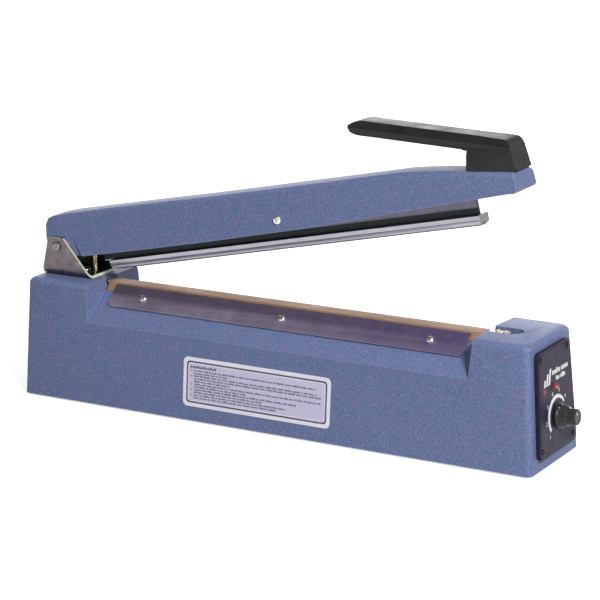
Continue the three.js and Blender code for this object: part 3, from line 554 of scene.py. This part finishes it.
def piece(name, mesh, body, material, stands_for=(), place=None):
    """A finished piece of the object, riding on a body."""
    made = add(name, mesh)
    if place is not None:
        made.matrix_world = place
    if not mesh.materials:
        mesh.materials.append(material)
    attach(made, body)
    if stands_for:
        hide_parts(*stands_for)
    return made


def rounded_edges(made, width, segments=3, angle=30):
    """Rounds every real edge of a piece by width millimetres."""
    bevel = made.modifiers.new("rounded_edges", "BEVEL")
    bevel.width = width * MM
    bevel.segments = segments
    bevel.limit_method = "ANGLE"
    bevel.angle_limit = math.radians(angle)
    bevel.miter_outer = "MITER_ARC"
    bevel.harden_normals = True
    return made


def stand_in(node, mesh, place=None, name=None, material=None):
    """A finished piece in a CAD node's place, on its body and in its slot."""
    slot = slot_of[node]
    name = name or node + "_finished"
    return piece(name, mesh, nodes[node]["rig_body"], material or FINISH[slot], [node], place)


def refined(node, width, place=None, segments=3, angle=30, name=None):
    """A node's own shape, with whole faces, rounded edges and smooth curves. place is the frame
    that its patterns lie in."""
    place = place or Matrix.Identity(4)
    bm = bmesh.new()
    bm.from_mesh(nodes[node].data)
    bmesh.ops.transform(bm, matrix=place.inverted(), verts=bm.verts)
    bmesh.ops.remove_doubles(bm, verts=bm.verts, dist=2e-6)
    flat = math.radians(0.25)
    bmesh.ops.dissolve_limit(bm, angle_limit=flat, verts=bm.verts, edges=bm.edges)
    made = stand_in(node, mesh_of(bm, node), place, name)
    return rounded_edges(made, width, segments, angle) if width else made


def carved(mesh, cutter):
    """mesh with cutter's solid taken out of it."""
    holders = [add("carving", m) for m in (mesh, cutter)]
    cut = holders[0].modifiers.new("cut", "BOOLEAN")
    cut.operation = "DIFFERENCE"
    cut.solver = "EXACT"
    cut.object = holders[1]
    graph = bpy.context.evaluated_depsgraph_get()
    result = bpy.data.meshes.new_from_object(holders[0].evaluated_get(graph))
    for holder in holders:
        bpy.data.objects.remove(holder)
    result.name = mesh.name
    result.shade_smooth()
    result.set_sharp_from_angle(angle=SMOOTH_BELOW)
    return result


def filleted(points, radius, steps=4, closed=False):
    """An outline with its corners rounded; the ends of an open one stay as they are."""
    rounded = []
    count = len(points)
    for i, point in enumerate(points):
        if not closed and i in (0, count - 1):
            rounded.append(tuple(point))
            continue
        corner = Vector(point)
        before, after = Vector(points[i - 1]), Vector(points[(i + 1) % count])
        back = min(radius, 0.45 * (before - corner).length)
        ahead = min(radius, 0.45 * (after - corner).length)
        start = corner + (before - corner).normalized() * back
        end = corner + (after - corner).normalized() * ahead
        for k in range(steps + 1):
            t = k / steps
            rounded.append(tuple((1 - t) ** 2 * start + 2 * t * (1 - t) * corner + t * t * end))
    return rounded


def skin(bm, low, high):
    """Faces between two rings with the same number of vertices."""
    for k in range(len(low)):
        following = (k + 1) % len(low)
        bm.faces.new((low[k], low[following], high[following], high[k]))


def turned(name, profile, segments=48, closed=False, radius_at=None):
    """A body of revolution about Z, from (radius, height) points in millimetres. A fluted one gets
    its radius from radius_at(radius, height, angle)."""
    bm = bmesh.new()
    rings = []
    for radius, height in profile:
        if radius < 1e-6:
            rings.append([bm.verts.new((0, 0, height * MM))])
            continue
        ring = []
        for k in range(segments):
            angle = 2 * math.pi * k / segments
            r = radius_at(radius, height, angle) if radius_at else radius
            ring.append(bm.verts.new((r * math.cos(angle) * MM, r * math.sin(angle) * MM, height * MM)))
        rings.append(ring)
    pairs = list(zip(rings, rings[1:])) + ([(rings[-1], rings[0])] if closed else [])
    for low, high in pairs:
        if len(low) == len(high) == segments:
            skin(bm, low, high)
            continue
        ring, tip = (high, low[0]) if len(low) == 1 else (low, high[0])
        for k in range(segments):
            bm.faces.new((ring[k], ring[(k + 1) % segments], tip))
    return mesh_of(bm, name)


def prism(bm, outline, low, high, taper=1.0):
    """Adds an outline in X and Y, from low to high along Z, in millimetres; taper shrinks its low
    end."""
    bottom = [bm.verts.new((x * taper * MM, y * taper * MM, low * MM)) for x, y in outline]
    top = [bm.verts.new((x * MM, y * MM, high * MM)) for x, y in outline]
    bm.faces.new(bottom[::-1])
    bm.faces.new(top)
    skin(bm, bottom, top)


def rectangle(x0, x1, y0, y1):
    return [(x0, y0), (x1, y0), (x1, y1), (x0, y1)]


def band(bm, outer, inner, low, high):
    """Adds a flat band between two outlines with the same number of points."""
    rows = [
        [bm.verts.new((x * MM, y * MM, z * MM)) for x, y in outline]
        for outline, z in ((outer, low), (outer, high), (inner, high), (inner, low))
    ]
    for row, following in zip(rows, rows[1:] + rows[:1]):
        skin(bm, row, following)


def tube(name, points, radius, sides):
    """A round wire along points given in millimetres, with domed ends."""
    bm = bmesh.new()
    path = [Vector(p) for p in points]
    normal = None
    rings = []
    for i, point in enumerate(path):
        ahead = path[min(i + 1, len(path) - 1)] - path[max(i - 1, 0)]
        ahead.normalize()
        if normal is None:
            normal = ahead.orthogonal().normalized()
        normal = (normal - ahead * normal.dot(ahead)).normalized()
        side = ahead.cross(normal)
        angles = (2 * math.pi * k / sides for k in range(sides))
        ring = [point + radius * (normal * math.cos(a) + side * math.sin(a)) for a in angles]
        rings.append([bm.verts.new(p * MM) for p in ring])
    for low, high in zip(rings, rings[1:]):
        skin(bm, low, high)
    for ring, point, before in ((rings[0], path[0], path[1]), (rings[-1], path[-1], path[-2])):
        tip = bm.verts.new((point + (point - before).normalized() * radius * 0.5) * MM)
        for k in range(sides):
            bm.faces.new((ring[k], ring[(k + 1) % sides], tip))
    return mesh_of(bm, name, math.radians(60))


# ---- screws and pins ----


def cross_outline(reach, half):
    """A plus sign."""
    quarter = [(half, half), (half, reach), (-half, reach)]
    turns = ((1, 0), (0, 1), (-1, 0), (0, -1))
    return [(x * c - y * s, x * s + y * c) for c, s in turns for x, y in quarter]


def cross_screw(head_radius, head_height, shank_radius, length):
    """A pan head screw with a cross recess, with the top of its head at z = 0."""
    tip = -head_height - length
    root_radius = shank_radius * 0.86
    pitch = max(0.7, shank_radius * 0.4)
    profile = [(0, tip), (shank_radius * 0.7, tip), (shank_radius, tip + shank_radius * 0.5)]
    for i in range(int((length - 1.2) / pitch)):
        z = tip + 1 + i * pitch
        profile += [(shank_radius, z), (root_radius, z + pitch / 2)]
    profile += [(shank_radius, -head_height), (head_radius * 0.97, -head_height)]
    dome_height = head_height * 0.78
    flatness = 0.62  # 1 would make the dome round
    steps = 8
    for i in range(steps):
        a = math.radians(90 * i / steps)
        profile.append((head_radius * math.cos(a) ** flatness, -dome_height * (1 - math.sin(a))))
    profile.append((0, 0))
    recess = bmesh.new()
    outline = cross_outline(head_radius * 0.62, head_radius * 0.13)
    prism(recess, outline, -head_height * 0.72, head_height * 0.3, taper=0.45)
    return carved(turned("cross_screw", profile, 40), mesh_of(recess, "recess"))


screw_meshes = {}


def screws(names, axis, head_radius, head_height, shank_radius, turn=0.0):
    """Puts a detailed screw in place of each named CAD screw. Equal screws share a mesh."""
    for i, node in enumerate(names):
        place, length, _ = on_axis(node, axis)
        key = (head_radius, head_height, shank_radius, round(length, 1))
        if key not in screw_meshes:
            screw_meshes[key] = cross_screw(head_radius, head_height, shank_radius, length - head_height)
        stand_in(node, screw_meshes[key], place @ Matrix.Rotation(turn + 0.7 * i, 4, "Z"))


def all_screws():
    for side in ("front", "rear"):
        names = [f"{side}_plate_screw_{i}" for i in (1, 2, 3)]
        screws(names, SLOPE_OUT[side], 3.7, 2.1, 1.6, turn=0.4)
    screws([f"foot_screw_{i}" for i in (1, 2, 3, 4)], (0, 0, -1), 4.2, 1.1, 1.7)
    screws([f"panel_screw_{i}" for i in (1, 2, 3, 4)], KNOB_AXIS, 2.6, 1.3, 1.2, turn=0.3)
    screws([f"bracket_bolt_{i}" for i in (1, 2)], (0, 0, 1), 5.0, 3.0, 2.2)
    screws([f"handle_screw_{i}" for i in (1, 2)], SHELL.to_3x3() @ Vector((0, 0, -1)), 4.0, 2.2, 1.8)
    screws(["press_bar_screw"], ARM_ACROSS, 4.1, 2.3, 2.5, turn=0.35)


def hinge_pin():
    """Pin with a head at each end and a turned dimple in each head."""
    place, length, radius = on_axis("hinge_pin", (0, -1, 0))
    shank, head = 3.5, 2.4
    face = (radius * 0.62, 0.15)
    dimple = [(0, 0.55), (0.9, 0.5), (1.5, 0.12), face]
    near = dimple + filleted([(shank, head), (radius, head), (radius, 0.9), face], 0.5)[::-1]
    far = [(r, length - h) for r, h in near[::-1]]
    profile = [(r, -h) for r, h in near + far]
    dull = dark_steel("dull_pin_steel", (0.24, 0.23, 0.24), 2)
    stand_in("hinge_pin", turned("hinge_pin", profile), place, material=dull)


# ---- castings, plates and bars ----


def castings():
    refined("base_housing", 1.3, segments=4, name="base_casting")
    refined("arm_casting", 0.8, name="arm_shell")


def sheet_metal():
    bracket = refined("hinge_bracket", 0.4)
    bracket.data.materials.append(lit_cut_edge())
    # a near-black steel, painted on as the shade between the bracket's ears
    bracket.data.materials.append(dark_steel("shaded_bracket_steel", (0.03, 0.032, 0.028), 3))
    for polygon in bracket.data.polygons:
        facing_in = polygon.center.y * polygon.normal.y < -10 * MM
        if abs(polygon.normal.x) > 0.5 and abs(polygon.normal.y) < 0.3:
            polygon.material_index = 1  # painted highlight: the sheet's cut edges are painted bright
        elif polygon.normal.z > 0.7 or facing_in:
            polygon.material_index = 2  # painted shade: dark between the ears and on its upward faces
    refined("front_clamp_plate", 0.35)
    refined("rear_clamp_plate", 0.35)
    refined("bottom_plate", 0.3)


def press_bar():
    """The bar, its pad and what holds them, with patterns that run along the arm."""
    refined("press_bar", 0.3, ARM)
    refined("silicone_pad", 0.5, ARM)
    refined("press_bar_nut", 0.4, ARM)
    refined("switch_striker", 0.4, ARM)
    refined("front_spacer", 0.3, ARM)
    refined("rear_spacer", 0.3, ARM)


def terminals():
    for end in ("hinge", "control"):
        refined(f"{end}_end_terminal", 0.25)
        refined(f"{end}_end_insulator", 0.3)


# ---- handle ----

GRIP_UNDER = ((352.0, 56.1), (441.0, 32.7))  # its lower edge in the casting's frame, tip to neck
RIDGE_PITCH = 2.3
RIDGE_DEPTH = 0.8


def handle():
    """The grip, with finger ridges cut across its underside."""
    made = refined("handle_grip", 0)
    start, end = (Vector((x, 0, z)) for x, z in GRIP_UNDER)
    along = (end - start).normalized()
    down = Vector((along.z, 0, -along.x))
    half_width = 18  # past both sides of the grip
    half_mouth = along * RIDGE_PITCH * 0.46
    bm = bmesh.new()
    for i in range(int((end - start).length / RIDGE_PITCH)):
        middle = start + along * RIDGE_PITCH * (i + 0.5)
        mouth = middle + down * 2
        notch = (middle - down * RIDGE_DEPTH, mouth + half_mouth, mouth - half_mouth)
        near, far = (
            [bm.verts.new((p.x * MM, y * MM, p.z * MM)) for p in notch] for y in (-half_width, half_width)
        )
        bm.faces.new(near)
        bm.faces.new(far[::-1])
        skin(bm, near, far)
    notches = mesh_of(bm, "notches")
    notches.transform(SHELL)
    made.data = carved(made.data, notches)
    rounded_edges(made, 0.9, segments=3, angle=38)


# ---- sealing strip ----

CLOTH_TOP = 110.1
CLOTH_THICKNESS = 0.3
RIDGE_HALF = 7.2
SLOPE_FOOT = (43.6, 77.9)


def over_slope(y, out):
    """A point on the rear slope's section at distance y, out above it."""
    z = SLOPE_FOOT[1] + (SLOPE_FOOT[0] - y) * math.tan(SLOPE)
    return y + math.sin(SLOPE) * out, z + math.cos(SLOPE) * out


def sealing_cloth():
    """The release cloth over the heating ribbon: tucked under the clamp plates on both sides,
    raised a little over the ribbon, with slight waves along it."""
    low, high = (corner.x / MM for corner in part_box("release_cloth"))
    half = [over_slope(y, 0.6) for y in (13.4, 10.8, 8.2)]
    half += [(7.3, 109.98), (4.2, 109.99), (2.4, 110.0), (1.3, CLOTH_TOP)]
    across = half + [(0, CLOTH_TOP)] + [(-y, z) for y, z in reversed(half)]
    bm = bmesh.new()
    steps = 160
    drift = random.Random(11)
    long_phase, short_phase = (drift.uniform(0, 6.28) for _ in range(2))
    rows = []
    for i in range(steps + 1):
        x = low + (high - low) * i / steps
        dip = abs(0.035 * math.sin(x / 17 + long_phase) + 0.03 * math.sin(x / 6.3 + short_phase))
        row = []
        for y, z in across:
            share = min(1.0, abs(y) / RIDGE_HALF)
            row.append(bm.verts.new((x * MM, y * MM, (z - dip * (0.4 + 0.6 * share)) * MM)))
        rows.append(row)
    for row, following in zip(rows, rows[1:]):
        for k in range(len(across) - 1):
            bm.faces.new((row[k], row[k + 1], following[k + 1], following[k]))
    made = stand_in("release_cloth", mesh_of(bm, "release_cloth", math.radians(60)))
    if any(polygon.normal.z < 0 for polygon in made.data.polygons):
        made.data.flip_normals()
    thick = made.modifiers.new("thickness", "SOLIDIFY")
    thick.thickness = CLOTH_THICKNESS * MM
    thick.offset = -1


# ---- control panel ----

LAMP_FROM_KNOB = (-3.4, 27.0)
NUMBER_RADIUS = 22.2
PRINT = (0.04, 0.12)  # how far ink stands on the face, from and to
FIRST_NUMBER_ANGLE = 222
NUMBER_STEP = 37
NUMBERS = 8


def digit(text, height):
    """A number as a thin flat solid, centred."""
    curve = bpy.data.curves.new("digit", "FONT")
    curve.body = text
    curve.size = height * MM * 1.35  # the font's size is more than its figures' height
    curve.extrude = (PRINT[1] - PRINT[0]) / 2 * MM
    curve.align_x = "CENTER"
    curve.align_y = "CENTER"
    curve.resolution_u = 3
    holder = add("digit", curve)
    graph = bpy.context.evaluated_depsgraph_get()
    mesh = bpy.data.meshes.new_from_object(holder.evaluated_get(graph))
    bpy.data.objects.remove(holder)
    return mesh


def polar(radius, degrees):
    a = math.radians(degrees)
    return radius * math.cos(a), radius * math.sin(a)


def disc(x, y, radius, sides):
    """A round outline."""
    step = 360 / sides
    return [(x + a, y + b) for a, b in (polar(radius, step * k) for k in range(sides))]


def dial_marks():
    """The white time scale: a band that swells round the knob, numbers outside it, and a dot."""
    bm = bmesh.new()
    start, end, steps = 216, 32, 46
    middle = 17.2
    outer, inner = [], []
    for i in range(steps + 1):
        share = i / steps
        degrees = start + (end - start) * share
        half = 1.0 + 1.0 * math.sin(math.pi * min(1.0, share * 0.9 + 0.12)) ** 0.8
        outer.append(polar(middle + half, degrees))
        inner.append(polar(middle - half, degrees))
    prism(bm, outer + inner[::-1], *PRINT)
    for i in range(NUMBERS):
        x, y = polar(NUMBER_RADIUS, FIRST_NUMBER_ANGLE - NUMBER_STEP * i)
        mesh = digit(str(i + 1), 3.9)
        mesh.transform(Matrix.Translation((x * MM, y * MM, (PRINT[0] + PRINT[1]) / 2 * MM)))
        bm.from_mesh(mesh)
    prism(bm, disc(*polar(17.8, -54), 1.0, 12), *PRINT)
    return mesh_of(bm, "dial_marks")


def word(bm, x, y, letters, height, letter_width, chance):
    """A greeked word: a row of small blocks that reads as print but spells nothing."""
    for _ in range(letters):
        tall = height * chance.choice((0.72, 0.72, 1.0))
        prism(bm, rectangle(x, x + letter_width * 0.76, y, y + tall), *PRINT)
        x += letter_width
    return x


def title_marks():
    """Two rows of greeked heading above the lamp, on the right."""
    bm = bmesh.new()
    chance = random.Random(4)
    for x, y, words, height, width in ((-6.5, 37.6, (6, 5), 5.0, 2.85), (0.6, 31.4, (3, 4), 4.2, 2.55)):
        for letters in words:
            x = word(bm, x, y, letters, height, width, chance) + 1.6
    return mesh_of(bm, "title_marks")


def emblem_bars():
    """Three plain slanted bars, beside the heading."""
    bm = bmesh.new()
    for x, low, high in ((-24.5, 30.5, 36.5), (-19.8, 30.5, 40.5), (-15.1, 30.5, 44.0)):
        slant = 0.3 * (high - low)
        prism(bm, [(x, low), (x + 3.1, low), (x + 3.1 + slant, high), (x + slant, high)], *PRINT)
    return mesh_of(bm, "emblem_bars")


def emblem_disc():
    bm = bmesh.new()
    prism(bm, disc(-23.4, 27.0, 2.4, 24), *PRINT)
    return mesh_of(bm, "emblem_disc")


def faceplate():
    """Thin overlay that carries the print. It ends above the panel's lower edge, and has holes
    for the knob's shaft, the lamp and the two upper screws."""
    bm = bmesh.new()
    low, high = -17.9, 59.4
    bottom_half, top_half = 34.6, 30.4
    outline = [(-bottom_half, low), (bottom_half, low), (top_half, high), (-top_half, high)]
    prism(bm, filleted(outline, 4, closed=True), 0.02, 0.2)
    holes = bmesh.new()
    for x, y, radius in ((0, 0, 6.5), (*LAMP_FROM_KNOB, 3.7), (-27.0, 55.8, 3.4), (28.0, 55.8, 3.4)):
        prism(holes, disc(x, y, radius, 24), -1, 1)
    return carved(mesh_of(bm, "faceplate"), mesh_of(holes, "holes"))


def control_panel():
    refined("control_panel", 0.9, DIAL, segments=4, angle=40)
    film = moulded_plastic("faceplate_film", (0.019, 0.0115, 0.034), 0.45, (0.04, 0.032, 0.06), 0.01, 0.15)
    piece("faceplate", faceplate(), "base", film, place=DIAL)
    raised = DIAL @ Matrix.Translation((0, 0, 0.18 * MM))
    for mesh in (dial_marks(), title_marks(), emblem_bars()):
        piece(mesh.name, mesh, "base", WHITE_INK, place=raised)
    piece("emblem_disc", emblem_disc(), "base", RED_INK, place=raised)
    lamp()
    knob()


def lamp():
    """Red lens: a dome on a collar with fine flutes."""
    place, length, radius = on_axis("pilot_lamp", KNOB_AXIS)
    top = [(0, 0), (1.0, -0.07), (1.9, -0.4), (2.5, -1.0), (2.75, -1.7), (2.8, -2.9)]
    profile = top + [(radius, -3.1), (radius, -7.0), (2.7, -7.1), (2.7, -length), (0, -length)]

    def fluted(r, height, angle):
        return r * (1 - 0.03 * abs(math.sin(12 * angle))) if -3.0 < height < -1.2 else r

    stand_in("pilot_lamp", turned("pilot_lamp", profile, 96, radius_at=fluted), place, "pilot_lamp_lens")


def knob():
    """Skirted knob: flutes round the body, a smooth cap with a dished end, a white pointer line."""
    _, _, radius = on_axis("timer_knob", KNOB_AXIS)
    lift = 1.8  # from the panel's face to the skirt
    skirt = [(3.3, lift), (radius, lift), (radius, lift + 1.5), (radius - 0.7, lift + 2.2)]
    body = [(9.9, lift + 2.7), (9.0, lift + 8.4), (8.5, lift + 9.1), (7.4, lift + 9.6)]
    cap = [(7.3, lift + 11.5), (7.15, lift + 17.0), (6.6, lift + 17.8), (5.6, lift + 17.9)]
    dish = [(5.2, lift + 17.6), (0, lift + 17.5)]
    bore = [(0, lift + 14.8), (3.3, lift + 14.8)]
    profile = bore + filleted(skirt, 0.4, 3) + filleted(body + cap + dish, 0.5, 3)

    def fluted(r, height, angle):
        wave = 0.5 + 0.5 * math.cos(20 * angle)
        if lift + 3.0 < height < lift + 8.6:
            return r - 0.42 * wave**2
        if lift + 11.3 < height < lift + 17.1 and r > 7:
            return r - 0.22 * wave**2
        return r

    mesh = turned("timer_knob", profile, 160, radius_at=fluted)
    pointer_angle = math.radians(120)
    place = DIAL @ Matrix.Rotation(pointer_angle, 4, "Z")
    glossy = moulded_plastic("knob_moulding", (0.014, 0.0145, 0.0135), 0.34, (0.11, 0.1, 0.13), 0.012)
    stand_in("timer_knob", mesh, place, material=glossy)
    bm = bmesh.new()
    prism(bm, rectangle(9.4, radius - 0.8, -0.45, 0.45), lift + 2.1, lift + 2.85)
    prism(bm, rectangle(2.2, 6.2, -0.4, 0.4), lift + 17.4, lift + 17.85)
    piece("knob_pointer_line", mesh_of(bm, "knob_pointer"), "timer_knob", WHITE_INK, place=place)


# ---- instruction label ----

LABEL_CORNER = 5.5
# Each row's share of the full width, and whether it starts a numbered paragraph.
LABEL_ROWS = (
    (0.97, True), (0.27, False), (0.98, True), (0.97, False), (0.3, False),
    (0.99, True), (0.4, False), (0.8, True), (0.55, False), (0.7, True),
    (0.62, False),
)


def rounded_rectangle(half_width, half_height, radius):
    corners = [(1, 1), (-1, 1), (-1, -1), (1, -1)]
    points = [(x * half_width, y * half_height) for x, y in corners]
    return filleted(points, radius, steps=6, closed=True)


def instruction_label():
    """A film with a white rim, a dark outline, and a lilac field printed with greeked rows."""
    low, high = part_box("instruction_label")
    up_face = (0, math.sin(FRONT_LEAN), math.cos(FRONT_LEAN))
    place = framed((low + high) / 2, (1, 0, 0), up_face)
    half_width = (high.x - low.x) / 2 / MM
    half_height = (high.z - low.z) / 2 / MM / math.cos(FRONT_LEAN)
    rim, line, gap = 3.5, 1.6, 0.9

    def inset(by):
        return rounded_rectangle(half_width - by, half_height - by, max(2.5, LABEL_CORNER - 0.5 * by))

    film, outline, field = bmesh.new(), bmesh.new(), bmesh.new()
    prism(film, inset(0), -0.17, 0.1)
    made = stand_in("instruction_label", mesh_of(film, "instruction_label"), place, "label_film")
    rounded_edges(made, 0.08, segments=2)
    band(outline, inset(rim), inset(rim + line), 0.04, 0.08)
    prism(field, inset(rim + line + gap), 0.04, 0.07)
    margin = rim + line + gap + 1.6
    rows = print_rows(half_width - margin, half_height - margin)
    raised = place @ Matrix.Translation((0, 0, 0.06 * MM))  # where print lies on the film
    piece("label_outline", mesh_of(outline, "label_outline"), "base", DARK_INK, place=raised)
    piece("label_field", mesh_of(field, "label_field"), "base", LILAC_INK, place=raised)
    piece("label_rows", rows, "base", DARK_INK, place=raised)


def print_rows(half_width, half_height):
    """A greeked heading and numbered paragraphs."""
    bm = bmesh.new()
    chance = random.Random(7)
    word(bm, -half_width, half_height - 2.3, 12, 2.5, 2.3, chance)
    pitch = (2 * half_height - 3.2) / len(LABEL_ROWS)
    indent = 4.0
    for i, (share, numbered) in enumerate(LABEL_ROWS):
        y = half_height - 3.4 - pitch * (i + 0.8)
        if numbered:
            word(bm, -half_width + 0.6, y, 1, 1.9, 1.3, chance)
        x = -half_width + indent
        end = x + (2 * half_width - indent) * share
        while x < end - 3:
            x = word(bm, x, y, chance.randint(2, 8), 1.7, 1.05, chance) + 0.85
    return mesh_of(bm, "label_rows")


# ---- springs, rods, rubber ----


def return_spring():
    """Torsion spring round the hinge pin: one leg bears on the bracket's floor, the other under the arm's
    roof."""
    wire, mean = 0.95, 6.6
    half, turns = 9.8, 8.25
    first_leg, last_leg = math.radians(152), math.radians(42)

    def around(angle, y, reach=0.0):
        """A point of the coil; angle is from up, towards the control end. Reach runs on along it."""
        out = Vector((math.cos(angle), 0, -math.sin(angle)))
        onward = Vector((math.sin(angle), 0, math.cos(angle)))
        return out * mean + onward * reach + Vector((0, y, 0))

    coil_turn = turns * 2 * math.pi
    total = coil_turn + (last_leg - first_leg) % (2 * math.pi)
    steps = int(total / math.radians(12))
    points = [around(first_leg, -half, reach) for reach in (21.5, 14.0, 7.0, 2.0)]
    for i in range(steps + 1):
        share = i / steps
        points.append(around(first_leg - total * share, -half + 2 * half * share))
    points += [around(last_leg, half, -reach) for reach in (2.0, 9.0)]
    mesh = tube("return_spring", points, wire, 10)
    mesh.transform(Matrix.Translation(HINGE))
    mesh.materials.append(FINISH["spring_steel"])
    made = add("return_spring_coil", mesh)
    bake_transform(made)
    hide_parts("return_spring")


def push_rod():
    """Domed rod with a groove round it."""
    place, length, radius = on_axis("switch_push_rod", (0, 0, 1))
    profile = [(0, 0), (radius * 0.45, -0.15), (radius * 0.82, -0.75), (radius, -1.9)]
    profile += [(radius, -12), (radius * 0.93, -12.2), (radius * 0.93, -12.8), (radius, -13)]
    profile += filleted([(radius, -14), (radius, -length), (0, -length)], 0.5)[1:]
    stand_in("switch_push_rod", turned("switch_push_rod", profile, 32), place)


def feet():
    """Rubber feet: a soft lower edge, a moulded ring and a recess for the screw's head."""
    for i in (1, 2, 3, 4):
        node = f"rubber_foot_{i}"
        place, length, radius = on_axis(node, (0, 0, -1))
        profile = [(2.3, -length), (radius, -length), (radius, -1.2), (radius - 1.4, 0), (6.2, 0)]
        profile += [(6.0, -0.3), (5.6, 0), (5.05, 0), (5.05, -1.55), (2.3, -1.6)]
        outline = filleted(profile, 0.25, 3, closed=True)
        stand_in(node, turned(node, outline, 56, closed=True), place)


def grommet():
    """Rubber ring with a flange on each side of the base's wall."""
    node = "mains_inlet_grommet"
    place, length, radius = on_axis(node, REAR_OUT)
    flange = 1.4
    groove_end = length - 3.9
    profile = [(3.6, -length), (9.0, -length), (9.3, -groove_end - 0.4), (6.9, -groove_end)]
    profile += [(6.9, -flange), (radius, -flange), (radius - 1.0, 0), (5.2, 0), (3.6, -1.0)]
    outline = filleted(profile, 0.4, 3, closed=True)
    stand_in(node, turned(node, outline, closed=True), place)


# ---- inside pieces that keep their CAD shape ----


def finish_kept_nodes():
    """Every CAD node still shown takes its slot's finish and has its edges eased."""
    for name, node in nodes.items():
        if node.hide_render:
            continue
        node.data.materials.clear()
        node.data.materials.append(FINISH[slot_of[name]])
        rounded_edges(node, 0.15, segments=1)


# ---- camera, light, floor ----

# The camera's and the lights' places and sizes are in metres.
LOOK_AT = Vector((0.0008, 0.0003, 0.1146))
CAMERA_AWAY = 2.13
CAMERA_AZIMUTH = math.radians(30.303)
CAMERA_ELEVATION = math.radians(14.851)
CAMERA_ROLL = math.radians(-0.703)
CAMERA_LENS = 141.28


def add_camera():
    camera = add("camera", bpy.data.cameras.new("camera"))
    camera.matrix_world = (
        Matrix.Translation(LOOK_AT)
        @ Matrix.Rotation(CAMERA_AZIMUTH, 4, "Z")
        @ Matrix.Rotation(math.pi / 2 - CAMERA_ELEVATION, 4, "X")
        @ Matrix.Translation((0, 0, CAMERA_AWAY))
        @ Matrix.Rotation(CAMERA_ROLL, 4, "Z")
    )
    camera.data.lens = CAMERA_LENS
    camera.data.clip_end = 50
    scene.camera = camera


def area_light(name, at, size, watts):
    """A soft light that faces the middle of the machine."""
    data = bpy.data.lights.new(name, "AREA")
    data.shape = "RECTANGLE"
    data.size, data.size_y = size
    data.energy = watts
    middle = Vector((0, 0, 0.12))
    add(name, data).matrix_world = standing(at, Vector(at) - middle)


def add_lights():
    area_light("overhead", (0.1, 0.2, 2.2), (2.4, 1.6), 9)
    area_light("key", (1.9, -1.5, 1.75), (0.5, 0.5), 87)
    area_light("fill", (-0.6, -2.6, 0.9), (1.6, 1.2), 5.4)
    area_light("backdrop", (-1.7, 2.6, 0.8), (3.0, 1.4), 36)
    area_light("rear_fill", (-0.15, 2.9, 0.35), (1.4, 0.6), 32)
    world = bpy.data.worlds.new("studio")
    world.use_nodes = True
    background = world.node_tree.nodes["Background"]
    background.inputs["Color"].default_value = (1, 1, 1, 1)
    background.inputs["Strength"].default_value = 0.19
    scene.world = world
    scene.view_settings.view_transform = "Standard"
    scene.view_settings.look = "None"


def add_floor():
    """A wide pale disc, just below the feet."""
    bm = bmesh.new()
    prism(bm, disc(0, 0, 9000, 36), -4, -0.02)
    floor = add("floor", mesh_of(bm, "floor"))
    s = Surface("pale_floor", (0.86, 0.86, 0.86), 0.75)
    s.set("Emission Color", (1, 1, 1, 1))
    s.set("Emission Strength", 0.55)
    s.colour(s.ramp(s.noise(60, detail=3.0), (0.3, (0.85, 0.85, 0.85)), (0.7, (0.87, 0.87, 0.87))))
    floor.data.materials.append(s.material)
    floor.visible_diffuse = False  # the studio's floor doesn't light the machine from below


add_camera()
add_lights()
add_floor()
castings()
sheet_metal()
press_bar()
terminals()
handle()
sealing_cloth()
control_panel()
instruction_label()
return_spring()
push_rod()
feet()
grommet()
hinge_pin()
all_screws()
finish_kept_nodes()
